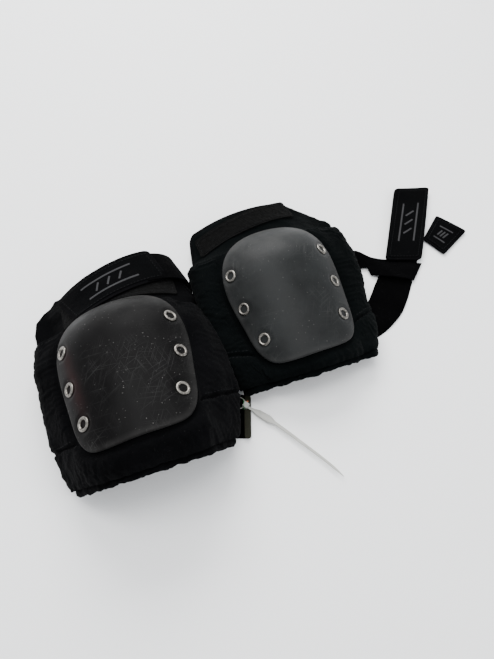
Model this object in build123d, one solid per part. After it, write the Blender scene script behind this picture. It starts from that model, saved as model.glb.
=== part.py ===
"""Pair of hard-cap knee pads tied together, lying on their backs.

Frame: +X across the two pads, +Y from shin to thigh, +Z up, millimetres.
Each pad is drawn in its own frame first: x across the knee, y from shin to thigh,
z outward, with the origin on the crown of the cap.
"""
from build123d import *
from cmath import exp, phase
from math import asin, cos, hypot, pi, radians, sin, sqrt
import os

# ---- cap ----
CAP_R = 86.3                  # outer radius of the cap across the knee
CAP_T = 3.5                   # cap wall
CAP_REACH = 62.0              # half angle drawn before the cap is cut to its outline
DOME_START = 29.5             # station where the cap starts to dome over the thigh end
DOME_R = 68.0                 # radius of the dome along the leg
CAP_HALF_OUTLINE = [(0, -72.5), (30, -71.5), (45, -67), (54.5, -54), (60.5, -25), (64.5, 5),
                    (65.3, 30), (61, 52), (48, 72), (25, 85), (0, 88.5)]
EYELETS = [(55.2, 41.0), (54.5, 0.0), (46.4, -39.7)]     # across and along, one side
EYELET_FLANGE_R = 7.0
EYELET_BARREL_R = 4.5
EYELET_HOLE_R = 3.8
EYELET_FLANGE_T = 1.3
EYELET_DEPTH = 7.4            # from the cap's face to the rolled end
EYELET_ROUNDING = 0.9
WASHER_R = 7.4
WASHER_T = 0.9
WASHER_DEPTH = 6.15           # from the cap's face to the washer
WASHER_ROOM = (3.6, 0.9)      # height of its pocket in the foam, and the gap round it
RIVET_HOLE_R = 4.6            # hole in the cap and the cover
FAR = 400.0                   # longer than any piece, for cutting boxes

# ---- sleeve wall, measured down from the cap's outer surface ----
COVER = (4.3, 5.5)            # nylon front cover
FOAM = (6.2, 13.0)            # foam pads
LINING = (13.5, 14.5)         # inner lining
BACK = (4.3, 8.0)             # stretch back panel
HEM = (4.3, 9.5)              # turned hem at the shin opening
SHIN_ROLL_START = -68.0       # the cover rolls down past this station
SHIN_ROLL_R = 32.0
SLEEVE_STEPS = [-92, -86, -80, -74, -68, -50, -25, 0, 12, DOME_START, 36, 42, 48, 54, 60, 66]
COVER_END = 78.0              # sewn edge below the cap, where the flap starts
KNEE_FOAM_HALF = 58.0         # half width of the middle foam pad
FOAM_JOIN = 0.6               # gap between foam pads
FLOOR_GAP = 2.5               # the back panel lies on the straps, not on the ground
SEAM_H = 12.0                 # height of the seam between front cover and back panel

# ---- thigh flap: station, crown depth, arch radius, thickness ----
FLAP = [(81.5, 37.5, 90.0, 7.0), (88.0, 43.0, 91.0, 10.0), (100.0, 46.0, 94.0, 12.0),
        (114.0, 47.5, 98.0, 11.0), (126.0, 48.0, 104.0, 9.0), (158.0, 50.0, 104.0, 9.0)]
FLAP_END = 126.0
FLAP_SKIN = 1.2
BINDING_W = 3.5
LOOP_STRIP = (94.0, 124.0)    # stations of the loop tape
LOOP_T = 1.5

# ---- straps ----
STRAP_W = 48.0
STRAP_T = 2.0
LABEL_T = 0.6

# ---- where each pad lies ----
SPAN = (189.6, 40.8)          # from the left crown to the right crown
PADS = {
    "left": dict(crown=(-SPAN[0] / 2, -SPAN[1] / 2, 97.0), yaw=0.0, pitch=-1.0, roll=7.8,
                 flap=(-64.0, 77.0), strip=(-60.0, 66.0), shin_floor=-72.0, shin_lean=0.28, shin_end=-98.0,
                 stations=[(-100, 36, -64, 78, 18), (-62, 42, -76, 91, 19), (-25, 47, -81, 96, 20),
                           (12, 51, -85, 96, 20), (42, 51, -85, 93, 20), (62, 45, -82, 89, 19),
                           (80, 39, -80, 85, 18)]),
    "right": dict(crown=(SPAN[0] / 2, SPAN[1] / 2, 70.5), yaw=1.4, pitch=12.8, roll=2.5,
                  flap=(-72.0, 77.0), strip=(-70.0, 52.0), shin_floor=-65.0, shin_lean=0.42, shin_end=-90.0,
                  stations=[(-100, 38, -73, 76, 11), (-62, 42, -85, 86, 13), (-25, 48, -88, 92, 15),
                            (12, 52, -89, 101, 16), (42, 52, -89, 105, 18), (62, 46, -88, 103, 18),
                            (80, 39, -86, 99, 18)]),
}   # stations: along, cap angle, left side, right side, radius of the turned side


def pad_frame(pad):
    """Plane of a pad's own frame, tilted the way the pad lies."""
    r, p = radians(pad["roll"]), radians(pad["pitch"])
    across = Vector(cos(r), -sin(p) * sin(r), cos(p) * sin(r)).rotate(Axis.Z, pad["yaw"])
    out = Vector(-sin(r), -sin(p) * cos(r), cos(p) * cos(r)).rotate(Axis.Z, pad["yaw"])
    return Plane(origin=pad["crown"], x_dir=across, z_dir=out)


def blend_at(rows, y):
    """Row of values at station y, taken in a straight line between two rows."""
    for low, high in zip(rows, rows[1:]):
        if y <= high[0]:
            break
    t = (y - low[0]) / (high[0] - low[0])
    return [a + (b - a) * t for a, b in zip(low, high)]


def crown_z(y, inset):
    """Height of a layer's crown line at station y."""
    if y > DOME_START:
        return -DOME_R + sqrt((DOME_R - inset) ** 2 - (y - DOME_START) ** 2)
    roll = max(0.0, SHIN_ROLL_START - y)
    return -inset - (SHIN_ROLL_R - sqrt(SHIN_ROLL_R ** 2 - roll ** 2))


def at(y, p):
    """Point of a section: the complex number p holds x and z."""
    return (p.real, y, p.imag)


def sleeve_section(pad, y, inset):
    """Closed outline of the sleeve at station y, `inset` below the cap's outer surface."""
    frame = pad_frame(pad)
    _, angle, left, right, turn = blend_at(pad["stations"], y)
    radius = CAP_R - inset
    centre = complex(0, crown_z(y, inset) - radius)
    up = complex(frame.x_dir.Z, frame.z_dir.Z)
    sides = {}
    for side, reach in ((1, right), (-1, left)):
        ideal = turn - (inset - COVER[0])
        small = max(ideal, 1.5)
        short = small - ideal
        dx = reach - side * turn - frame.y_dir.X * y
        dz = FLOOR_GAP + turn * abs(up) - frame.origin.Z - frame.y_dir.Z * y
        det = frame.x_dir.X * frame.z_dir.Z - frame.z_dir.X * frame.x_dir.Z
        c = complex((dx * frame.z_dir.Z - frame.z_dir.X * dz) / det,
                    (frame.x_dir.X * dz - dx * frame.x_dir.Z) / det)
        c += complex(-side * short, short)
        start = centre + radius * complex(side * sin(radians(angle)), cos(radians(angle)))
        gap = abs(c - start)
        touch = start + sqrt(gap ** 2 - small ** 2) * (c - start) / gap * exp(side * 1j * asin(small / gap))
        low = c - small * up / abs(up)
        turn_by = (side * (phase(touch - c) - phase(low - c))) % (2 * pi)
        middle = c + small * exp(1j * (phase(touch - c) - side * turn_by / 2))
        sides[side] = start, touch, middle, low
    r0, r1, r2, r3 = sides[1]
    l0, l1, l2, l3 = sides[-1]
    top = centre + 1j * radius
    return Wire([ThreePointArc(at(y, l0), at(y, top), at(y, r0)), Line(at(y, r0), at(y, r1)),
                 ThreePointArc(at(y, r1), at(y, r2), at(y, r3)), Line(at(y, r3), at(y, l3)),
                 ThreePointArc(at(y, l3), at(y, l2), at(y, l1)), Line(at(y, l1), at(y, l0))])


def sleeve_body(pad, inset, y0, y1):
    """Everything inside one surface of the sleeve, between two stations."""
    between = [y for y in SLEEVE_STEPS if y0 + 1 < y < y1 - 1]
    return Solid.make_loft([sleeve_section(pad, y, inset) for y in [y0] + between + [y1]], ruled=True)


def sleeve_wall(pad, depths, y0, y1):
    """Layer of the sleeve between two depths below the cap's surface."""
    outer = sleeve_body(pad, depths[0], y0, y1)
    return outer - sleeve_body(pad, depths[1], y0 - 0.5, y1 + 0.5)


def cap_section(inset, y):
    """Outline of the cap's surface at a station, closed far below the cap."""
    radius = CAP_R - inset
    crown = crown_z(y, inset) if y > DOME_START else -inset
    centre = complex(0, crown - radius)
    side = radius * exp(1j * radians(90 - CAP_REACH))
    right, left = centre + side, centre - side.conjugate()
    low = 120j
    return Wire([ThreePointArc(at(y, left), at(y, centre + 1j * radius), at(y, right)),
                 Line(at(y, right), at(y, right - low)), Line(at(y, right - low), at(y, left - low)),
                 Line(at(y, left - low), at(y, left))])


def cap_body(inset, y0, y1):
    """Everything under one of the cap's two surfaces."""
    steps = 14
    domed = [DOME_START + (y1 - DOME_START) * i / steps for i in range(steps + 1)]
    return Solid.make_loft([cap_section(inset, y) for y in [y0] + domed], ruled=True)


def make_cap():
    """Domed shell cut to its outline, with six rivet holes."""
    right = Spline(*CAP_HALF_OUTLINE, tangents=[(1, 0), (-1, 0)])
    outline = make_face(Wire([right, right.mirror(Plane.YZ)]))
    prism = Pos(0, 0, -75) * extrude(outline, 85)
    cap = (cap_body(0.0, -80, 91) - cap_body(CAP_T, -81, 91.5)) & prism
    for spot in eyelet_spots():
        cap -= spot * Cylinder(RIVET_HOLE_R, 30)
    return cap


def eyelet_spots():
    """Locations on the cap's outer surface, z along the outward normal."""
    spots = []
    for across, along in EYELETS:
        for side in (-1, 1):
            root = sqrt(CAP_R ** 2 - across ** 2)
            dome = max(0.0, along - DOME_START)
            z = crown_z(along, 0.0) - CAP_R + root
            slope = dome / sqrt(DOME_R ** 2 - dome ** 2)
            spots.append(Plane(origin=(side * across, along, z), x_dir=(0, 1, 0),
                               z_dir=(side * across / root, slope, 1)).location)
    return spots


def make_eyelet():
    """Two-piece eyelet: rounded flange on the cap, barrel down through it."""
    flange = Pos(0, 0, 0.05 + EYELET_FLANGE_T / 2) * Cylinder(EYELET_FLANGE_R, EYELET_FLANGE_T)
    flange = fillet(flange.edges().group_by(Axis.Z)[-1], EYELET_ROUNDING)
    length = EYELET_DEPTH + 0.4
    barrel = Pos(0, 0, 0.4 - length / 2) * Cylinder(EYELET_BARREL_R, length)
    return flange + barrel - Cylinder(EYELET_HOLE_R, FAR)


def make_washer():
    """Ring that the eyelet is rolled over, under the cover."""
    ring = Cylinder(WASHER_R, WASHER_T) - Cylinder(RIVET_HOLE_R, WASHER_T + 1)
    return Pos(0, 0, -WASHER_DEPTH - WASHER_T / 2) * ring


def flap_arc(y, lift, x0, x1, back=False):
    """Three points of the flap's arch at station y, lift outward from its face."""
    _, crown, radius, _ = blend_at(FLAP, y)
    centre = complex(0, -crown - radius)
    ends = [centre + (radius + lift) * exp(1j * (pi / 2 - asin(x / radius))) for x in (x0, (x0 + x1) / 2, x1)]
    return ends[::-1] if back else ends


def flap_layer(top, bottom, y0, y1, x0, x1):
    """Layer of the flap; top and bottom are measured outward from its face."""
    wires = []
    for y in [y0] + [row[0] for row in FLAP if y0 + 2 < row[0] < y1 - 2] + [y1]:
        thick = blend_at(FLAP, y)[3]
        low = bottom if bottom > -3 else bottom + (FLAP[2][3] - thick)
        a = [at(y, p) for p in flap_arc(y, top, x0, x1)]
        b = [at(y, p) for p in flap_arc(y, low, x0, x1, back=True)]
        wires.append(Wire([ThreePointArc(*a), Line(a[2], b[0]), ThreePointArc(*b), Line(b[2], a[0])]))
    return Solid.make_loft(wires, ruled=True)


def band(points, radii, width_dir, width=STRAP_W, thick=STRAP_T):
    """Flat webbing swept along a path of runs and arcs."""
    path = Polyline(*points) if radii is None else FilletPolyline(*points, radius=radii)
    start = Plane(origin=path @ 0, x_dir=width_dir, z_dir=path % 0)
    return sweep(start * Rectangle(width, thick), path=path)


def plate(points, low, high):
    """Flat polygon standing between two heights."""
    return Pos(0, 0, low) * extrude(make_face(Polyline(*points, close=True)), high - low)


def slab(height0, height1):
    """Everything between two heights."""
    return Pos(0, 0, (height0 + height1) / 2) * Box(3 * FAR, 3 * FAR, height1 - height0)


def build_pad(name, pad):
    """All pieces of one pad, in the shared frame."""
    place = pad_frame(pad).location
    y_floor = pad["crown"][1] + pad["shin_floor"]
    shin = Plane(origin=(pad["crown"][0], y_floor, 0), x_dir=(1, 0, 0), z_dir=(0, 1, pad["shin_lean"]))

    def past_shin(start, end):
        return shin.location * slab(start, end)

    pieces = {}
    spots = eyelet_spots()
    pieces["cap"] = place * make_cap()
    pieces["cap_eyelets"] = Compound([place * spot * make_eyelet() for spot in spots])
    pieces["eyelet_washers"] = Compound([place * spot * make_washer() for spot in spots])

    holes = [spot * Cylinder(RIVET_HOLE_R, 20) for spot in spots]
    pockets = [spot * Pos(0, 0, -WASHER_DEPTH - WASHER_T / 2) * Cylinder(WASHER_R + WASHER_ROOM[1], WASHER_ROOM[0])
               for spot in spots]
    cover = sleeve_wall(pad, COVER, pad["shin_end"], COVER_END)
    for hole in holes:
        cover -= hole
    pieces["front_cover"] = place * cover & slab(SEAM_H + 0.2, 200) & past_shin(0, 300)

    foam = sleeve_wall(pad, FOAM, -86, 71)
    for pocket in pockets:
        foam -= pocket
    foam = place * foam & slab(SEAM_H + 3, 200) & past_shin(5, 300)
    middle = place * Box(2 * KNEE_FOAM_HALF, FAR, FAR)
    side_box = Box(FAR, FAR, FAR)
    reach = KNEE_FOAM_HALF + FOAM_JOIN + FAR / 2
    pieces["knee_foam"] = foam & middle
    pieces["left_wing_foam"] = foam & (place * Pos(-reach, 0, 0) * side_box)
    pieces["right_wing_foam"] = foam & (place * Pos(reach, 0, 0) * side_box)
    lining = place * sleeve_wall(pad, LINING, -86, 72)
    pieces["lining"] = lining & slab(SEAM_H + 3, 200) & past_shin(5, 300)
    back = place * sleeve_wall(pad, BACK, pad["shin_end"], COVER_END)
    pieces["back_panel"] = back & slab(0, SEAM_H - 0.2) & past_shin(0, 300)
    hem = place * sleeve_wall(pad, HEM, pad["shin_end"], -45)
    pieces["shin_hem"] = hem & slab(0, 200) & past_shin(-4.5, -0.3)

    x0, x1 = pad["flap"]
    t = FLAP[2][3]
    start = FLAP[0][0]
    pieces["flap_cover"] = place * flap_layer(0.0, -FLAP_SKIN, start, FLAP_END, x0, x1)
    pieces["flap_foam"] = place * flap_layer(-FLAP_SKIN - 0.4, -t + FLAP_SKIN + 0.4, start, FLAP_END - 1,
                                             x0 + 2, x1 - 2)
    under = flap_layer(-t + FLAP_SKIN, -t, start, FLAP_END, x0, x1)
    pieces["flap_lining"] = place * under
    pieces["flap_binding"] = place * flap_layer(0.0, -t, FLAP_END + 0.2, FLAP_END + BINDING_W, x0, x1)
    s0, s1 = pad["strip"]
    pieces["loop_strip"] = place * flap_layer(0.4 + LOOP_T, 0.4, *LOOP_STRIP, s0, s1)
    return {f"{name}_{key}": piece for key, piece in pieces.items()}


LEFT_TAB_AT = (0.0, 117.0)         # middle of the fastened tab, on the left flap
LEFT_TAB_TURN = 14.0
LEFT_TAB_LENGTH = 116.0


def left_straps(pad):
    """Straps of the left pad; the upper one is fastened over the loop tape of the flap."""
    place = pad_frame(pad).location
    width = (0, 1, 0)
    upper = band([(-150, 96, 1), (3.4, 96, 1), (3.4, 96, 24), (-20, 96, 46.5)], [9, 12], width)
    skew = place * Pos(*LEFT_TAB_AT, -60) * Rot(0, 0, LEFT_TAB_TURN) * Box(LEFT_TAB_LENGTH, STRAP_W, 160)
    label_area = place * Pos(*LEFT_TAB_AT, -60) * Rot(0, 0, LEFT_TAB_TURN) * Box(LEFT_TAB_LENGTH - 12, STRAP_W - 6, 160)
    tab = place * flap_layer(4.6, 2.6, 86, 150, -66, 62) & skew
    label = place * flap_layer(4.7 + LABEL_T, 4.7, 86, 150, -66, 62) & label_area
    lower = band([(-150, -17, 1), (13, -75, 1)], None, (0.335, 0.942, 0))
    return {"left_upper_strap": upper, "left_upper_tab": tab, "left_upper_label": label,
            "left_lower_strap": lower}


UPPER_TAB = [(248, 63), (293, 49), (366, 159), (316, 168)]     # loose tab, seen from above
LOWER_TAB = [(318.5, 73), (329, 51), (377, 75), (358, 109), (334.5, 101)]
UPPER_TAB_Z = 4.4
LOWER_TAB_Z = 0.6


def right_straps():
    """Loose straps of the right pad with their sewn tabs and labels."""
    upper = band([(110, 75, 1), (208, 72, 1), (250, 56, 1)], [90], (0, 1, 0))
    lower = band([(110, -6, 1), (190, -14, 1), (238, 6, 1)], [60], (0, 1, 0))
    lower += band([(218, -6, 3), (262, 34, 3), (296, 86, 3)], [70], (0.67, -0.74, 0))
    tab = plate(UPPER_TAB, UPPER_TAB_Z, UPPER_TAB_Z + STRAP_T)
    label = plate([(258, 65), (293, 54), (361, 155), (318, 162)], UPPER_TAB_Z + STRAP_T,
                  UPPER_TAB_Z + STRAP_T + LABEL_T)
    end_tab = plate(LOWER_TAB, LOWER_TAB_Z, LOWER_TAB_Z + STRAP_T)
    end_label = plate([(325, 75), (333, 58), (370, 77), (355, 103), (337, 98)], LOWER_TAB_Z + STRAP_T,
                      LOWER_TAB_Z + STRAP_T + LABEL_T)
    return {"right_upper_strap": upper, "right_lower_strap": lower, "right_upper_tab": tab,
            "right_upper_label": label, "right_lower_tab": end_tab, "right_lower_label": end_label}


# ---- nylon tie ----
TIE_HEAD = (15.0, -64.0)
TIE_LOOP_R = 7.5
TIE_WIRE = 1.4
TIE_TAIL = [(17, -67), (28, -80), (55, -119), (71, -144), (83, -166)]
TIE_TAIL_WIDTHS = [3.0, 7.6, 3.6, 3.0, 0.8]


def make_tie():
    """Closed loop with its locking head, and the loose tail with its grip plate."""
    x, y = TIE_HEAD
    loop = Pos(x - 6.5, y + 6.0, 3.2) * (Cylinder(TIE_LOOP_R, TIE_WIRE) - Cylinder(TIE_LOOP_R - 1.6, 9))
    head = Pos(x, y, 4.4) * Rot(0, 0, -55) * Box(5.5, 5.5, 4.0)
    tail = Pos(0, 0, 3.2) * extrude(tail_outline(), 1.6)
    return {"tie_loop": loop + head, "tie_tail": tail}


def tail_outline():
    """Outline of the tail: the grip plate near the head, then a long taper."""
    left, right = [], []
    for i, ((x, y), width) in enumerate(zip(TIE_TAIL, TIE_TAIL_WIDTHS)):
        a = TIE_TAIL[max(i - 1, 0)]
        b = TIE_TAIL[min(i + 1, len(TIE_TAIL) - 1)]
        dx, dy = b[0] - a[0], b[1] - a[1]
        n = hypot(dx, dy)
        left.append((x - dy / n * width / 2, y + dx / n * width / 2))
        right.append((x + dy / n * width / 2, y - dx / n * width / 2))
    return make_face(Polyline(*left, *right[::-1], close=True))


def main():
    """Builds every piece, moves the origin under the middle of the pair and writes the pieces."""
    parts = {}
    for name, pad in PADS.items():
        parts.update(build_pad(name, pad))
    parts.update(left_straps(PADS["left"]))
    parts.update(right_straps())
    parts.update(make_tie())
    points = [p for part in parts.values() for p in part.tessellate(0.2)[0]]
    low = Vector(min(p.X for p in points), min(p.Y for p in points), min(p.Z for p in points))
    high = Vector(max(p.X for p in points), max(p.Y for p in points), max(p.Z for p in points))
    origin = Vector((low.X + high.X) / 2, (low.Y + high.Y) / 2, low.Z)
    print("origin moved by", origin, "size", high - low)
    os.makedirs("parts", exist_ok=True)
    for name, part in parts.items():
        export_step(Pos(-origin.X, -origin.Y, -origin.Z) * part, f"parts/{name}.step")


if __name__ == "__main__":
    main()
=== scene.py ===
"""Pair of hard-cap knee pads lying on their backs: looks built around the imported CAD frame.

Every piece is drawn in its pad's own frame in millimetres (x across the knee, y from shin to
thigh, z outward from the crown of the cap) and placed in the shared frame in metres.
"""
from math import cos, pi, radians, sin, sqrt

import bpy
import numpy as np
from mathutils import Matrix, Vector, noise


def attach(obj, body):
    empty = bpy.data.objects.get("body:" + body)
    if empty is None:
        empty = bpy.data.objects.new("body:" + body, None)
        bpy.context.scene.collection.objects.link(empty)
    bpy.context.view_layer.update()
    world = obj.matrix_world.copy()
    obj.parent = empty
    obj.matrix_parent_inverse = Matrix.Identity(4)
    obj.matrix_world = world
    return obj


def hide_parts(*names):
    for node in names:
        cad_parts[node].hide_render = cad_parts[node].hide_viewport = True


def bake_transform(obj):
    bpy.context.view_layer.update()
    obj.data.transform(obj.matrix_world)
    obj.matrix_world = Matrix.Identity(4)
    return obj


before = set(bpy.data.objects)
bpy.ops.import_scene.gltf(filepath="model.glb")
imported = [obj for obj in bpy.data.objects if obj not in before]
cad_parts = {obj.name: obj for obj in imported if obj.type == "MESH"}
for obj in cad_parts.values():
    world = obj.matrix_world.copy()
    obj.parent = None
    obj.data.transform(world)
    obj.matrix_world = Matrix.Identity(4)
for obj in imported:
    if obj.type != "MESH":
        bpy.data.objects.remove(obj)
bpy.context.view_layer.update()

# ---- the design's driving sizes, millimetres ----
ORIGIN = np.array([98.6, 0.904, 0.0])
CAP_R, CAP_T = 86.3, 3.5
DOME_START, DOME_R = 29.5, 68.0
SHIN_ROLL_START, SHIN_ROLL_R = -68.0, 32.0
CAP_HALF = [(0, -72.5), (30, -71.5), (45, -67), (54.5, -54), (60.5, -25), (64.5, 5),
            (65.3, 30), (61, 52), (48, 72), (25, 85), (0, 88.5)]
EYELETS = [(55.2, 41.0), (54.5, 0.0), (46.4, -39.7)]
DIMPLE_DEPTH, DIMPLE_FADE = 1.0, (6.5, 12.5)    # press mark round each eyelet
COVER_DEPTH, LINING_DEPTH = 4.3, 13.8
COVER_END = 79.0
FLOOR_GAP, SEAM_H = 2.5, 12.0
FLAP = [(81.5, 37.5, 90.0, 7.0), (88.0, 43.0, 91.0, 10.0), (100.0, 46.0, 94.0, 12.0),
        (114.0, 47.5, 98.0, 11.0), (126.0, 48.0, 104.0, 9.0), (158.0, 50.0, 104.0, 9.0)]
STRAP_W = 48.0
PADS = {
    "left": dict(crown=(-94.8, -20.4, 97.0), yaw=0.0, pitch=-1.0, roll=7.8, flap=(-64.0, 77.0),
                 strip=(-60.0, 66.0), shin_floor=-72.0, shin_lean=0.28, shin_end=-97.0,
                 stations=[(-100, 36, -64, 78, 18), (-62, 42, -76, 91, 19), (-25, 47, -81, 96, 20),
                           (12, 51, -85, 96, 20), (42, 51, -85, 93, 20), (62, 45, -82, 89, 19),
                           (80, 39, -80, 85, 18)]),
    "right": dict(crown=(94.8, 20.4, 70.5), yaw=1.4, pitch=12.8, roll=2.5, flap=(-72.0, 77.0),
                  strip=(-70.0, 52.0), shin_floor=-65.0, shin_lean=0.42, shin_end=-91.0,
                  stations=[(-100, 38, -73, 76, 11), (-62, 42, -85, 86, 13), (-25, 48, -88, 92, 15),
                            (12, 52, -89, 101, 16), (42, 52, -89, 105, 18), (62, 46, -88, 103, 18),
                            (80, 39, -86, 99, 18)]),
}
for pad_name, pad in PADS.items():
    pad["name"] = pad_name
    r, p, yaw = (radians(pad[k]) for k in ("roll", "pitch", "yaw"))
    turn = np.array([[cos(yaw), -sin(yaw), 0], [sin(yaw), cos(yaw), 0], [0, 0, 1]])
    ex = turn @ np.array([cos(r), -sin(p) * sin(r), cos(p) * sin(r)])
    ez = turn @ np.array([-sin(r), -sin(p) * cos(r), cos(p) * cos(r)])
    pad["axes"] = np.array([ex, np.cross(ez, ex), ez])
    pad["at"] = np.array(pad["crown"])


def to_row(pad, points):
    """Pad-frame millimetres to shared-frame metres."""
    return (pad["at"] + np.asarray(points, float) @ pad["axes"] - ORIGIN) / 1000


def smooth(x, a, b):
    """Soft step from 0 at a to 1 at b."""
    t = np.clip((x - a) / (b - a), 0, 1)
    return t * t * (3 - 2 * t)


def fbm(points, scale, seed=0.0, octaves=3):
    """Smooth random values, one per point, about -1 to 1."""
    shift = Vector((seed * 7.3, seed * 3.1, seed * 5.7))
    return np.array([noise.fractal(Vector(p) * scale + shift, 1.0, 2.0, octaves) for p in points])


def ripples(x, y, fx, fy, seed, octaves=3, z=0.0):
    """Smooth random values over a grid of places, with fx and fy waves per millimetre."""
    x, y = (np.asarray(v, float) for v in (x, y))
    places = np.stack([x.ravel() * fx, y.ravel() * fy, x.ravel() * 0 + z], axis=1)
    return fbm(places, 1.0, seed, octaves).reshape(x.shape)


def chord(line):
    """Distance along a line of points, one value per point."""
    return np.concatenate([[0], np.cumsum(np.linalg.norm(np.diff(line, axis=0), axis=1))])


def sample(line, t, at):
    """Points at distances at along a line whose own distances are t."""
    return np.stack([np.interp(at, t, line[:, k]) for k in range(line.shape[1])], axis=1)


def relax(line, rounds):
    """Rounds a line's corners off and leaves its ends."""
    for _ in range(rounds):
        line[1:-1] = (line[:-2] + 2 * line[1:-1] + line[2:]) / 4
    return line


def unit(vectors):
    return vectors / np.linalg.norm(vectors, axis=-1, keepdims=True)


def in_quad(c, a, b):
    """Point of a four-cornered patch (left low, right low, right top, left top) at shares a and b."""
    return (c[0] * (1 - a) + c[1] * a) * (1 - b) + (c[3] * (1 - a) + c[2] * a) * b


def corner_cut(from_end, radius, width):
    """Share of a patch's width that its rounded corner takes off at a distance from its end."""
    if from_end >= radius:
        return 0.0
    return (radius - sqrt(max(radius ** 2 - (radius - from_end) ** 2, 0.0))) / width


def ground(points):
    """Millimetres on the ground, before the frame's origin was moved, to shared-frame metres."""
    return (np.asarray(points, float) - ORIGIN) / 1000


# ---- meshes ----
def add_object(name, verts, faces, uv=None, smooth_shade=True):
    mesh = bpy.data.meshes.new(name)
    mesh.from_pydata([tuple(v) for v in verts], [], [tuple(f) for f in faces])
    mesh.update()
    if uv is not None:
        layer = mesh.uv_layers.new(name="UVMap")
        loops = np.empty(len(mesh.loops), int)
        mesh.loops.foreach_get("vertex_index", loops)
        layer.data.foreach_set("uv", np.asarray(uv, float)[loops].ravel())
    if smooth_shade:
        mesh.polygons.foreach_set("use_smooth", [True] * len(mesh.polygons))
    obj = bpy.data.objects.new(name, mesh)
    bpy.context.collection.objects.link(obj)
    return obj


def grid_faces(rows, cols, wrap=False, start=0, flip=False):
    faces = []
    for i in range(rows - 1):
        for j in range(cols if wrap else cols - 1):
            k = (j + 1) % cols
            low, high = start + i * cols, start + (i + 1) * cols
            quad = [low + j, low + k, high + k, high + j]
            faces.append(quad[::-1] if flip else quad)
    return faces


def grid_uv(verts, rows, cols):
    """UV in metres, measured along the grid's own lines."""
    g = verts.reshape(rows, cols, 3)
    u = np.zeros((rows, cols))
    v = np.zeros((rows, cols))
    u[:, 1:] = np.cumsum(np.linalg.norm(np.diff(g, axis=1), axis=2), axis=1)
    v[1:] = np.cumsum(np.linalg.norm(np.diff(g, axis=0), axis=2), axis=0)
    u -= u[:, cols // 2][:, None]
    v -= v[rows // 2][None, :]
    return np.stack([u.ravel(), v.ravel()], axis=1)


def normals_of(grid, wrap=False):
    """Unit normals of a grid of points, shape rows by columns by three."""
    along = np.gradient(grid, axis=0)
    if wrap:
        across = (np.roll(grid, -1, axis=1) - np.roll(grid, 1, axis=1)) / 2
    else:
        across = np.gradient(grid, axis=1)
    n = np.cross(across, along)
    return n / np.maximum(np.linalg.norm(n, axis=2, keepdims=True), 1e-12)


def solid_sheet(name, grid, thick, flip=False, wrap=False):
    """Closed sheet from a grid of its outer face, metres, with rounded edges."""
    rows, cols = grid.shape[:2]
    n = normals_of(grid, wrap)
    if flip:
        n = -n
    uv = grid_uv(grid.reshape(-1, 3), rows, cols)
    obj = add_object(name, grid.reshape(-1, 3), grid_faces(rows, cols, wrap, flip=flip), uv)
    solid = obj.modifiers.new("thickness", "SOLIDIFY")
    solid.thickness = thick
    solid.offset = -1.0
    solid.use_even_offset = False
    bevel = obj.modifiers.new("edge", "BEVEL")
    bevel.width = thick * 0.35
    bevel.segments = 2
    bevel.angle_limit = radians(50)
    return obj


def apply_all(obj):
    """Bakes an object's modifiers into its mesh."""
    graph = bpy.context.evaluated_depsgraph_get()
    mesh = bpy.data.meshes.new_from_object(obj.evaluated_get(graph), preserve_all_data_layers=True,
                                           depsgraph=graph)
    obj.modifiers.clear()
    old = obj.data
    obj.data = mesh
    bpy.data.meshes.remove(old)


def join(name, objs):
    """One object made of several, keeping their materials."""
    with bpy.context.temp_override(active_object=objs[0], object=objs[0], selected_objects=objs,
                                   selected_editable_objects=objs):
        bpy.ops.object.join()
    objs[0].name = name
    return objs[0]


# ---- materials ----
class Nodes:
    """Short way to write a node tree."""

    def __init__(self, name):
        self.mat = bpy.data.materials.new(name)
        self.mat.use_nodes = True
        self.tree = self.mat.node_tree
        self.tree.nodes.clear()
        self.out = self.tree.nodes.new("ShaderNodeOutputMaterial")
        self.bsdf = self.tree.nodes.new("ShaderNodeBsdfPrincipled")
        self.tree.links.new(self.bsdf.outputs[0], self.out.inputs[0])

    def add(self, kind, **values):
        node = self.tree.nodes.new("ShaderNode" + kind)
        for key, value in values.items():
            setattr(node, key, value)
        return node

    def put(self, socket, value):
        if isinstance(value, bpy.types.NodeSocket):
            self.tree.links.new(value, socket)
        else:
            socket.default_value = value

    def math(self, op, a, b=0.0, c=0.0, clamp=False):
        node = self.add("Math", operation=op, use_clamp=clamp)
        for socket, value in zip(node.inputs, (a, b, c)):
            self.put(socket, value)
        return node.outputs[0]

    def noise(self, vector, scale, detail=3.0, rough=0.5, distortion=0.0):
        node = self.add("TexNoise")
        self.put(node.inputs["Vector"], vector)
        node.inputs["Scale"].default_value = scale
        node.inputs["Detail"].default_value = detail
        node.inputs["Roughness"].default_value = rough
        node.inputs["Distortion"].default_value = distortion
        return node.outputs["Fac"]

    def ramp(self, value, low, high, a=0.0, b=1.0):
        node = self.add("MapRange", clamp=True)
        for socket, v in zip(node.inputs[:5], (value, low, high, a, b)):
            self.put(socket, v)
        return node.outputs[0]

    def mix(self, factor, a, b):
        node = self.add("Mix", data_type="RGBA")
        self.put(node.inputs["Factor"], factor)
        self.put(node.inputs[6], a)
        self.put(node.inputs[7], b)
        return node.outputs[2]

    def scaled(self, vector, scale, rotate=(0, 0, 0)):
        node = self.add("Mapping")
        self.put(node.inputs["Vector"], vector)
        node.inputs["Scale"].default_value = scale
        node.inputs["Rotation"].default_value = rotate
        return node.outputs[0]

    def bump(self, height, strength, distance, normal=None):
        node = self.add("Bump")
        node.inputs["Strength"].default_value = strength
        node.inputs["Distance"].default_value = distance
        self.put(node.inputs["Height"], height)
        if normal is not None:
            self.put(node.inputs["Normal"], normal)
        return node.outputs[0]

    def object_place(self):
        return self.add("TexCoord").outputs["Object"]

    def uv(self):
        return self.add("TexCoord").outputs["UV"]

    def attribute(self, name):
        return self.add("Attribute", attribute_name=name).outputs["Fac"]


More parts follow.
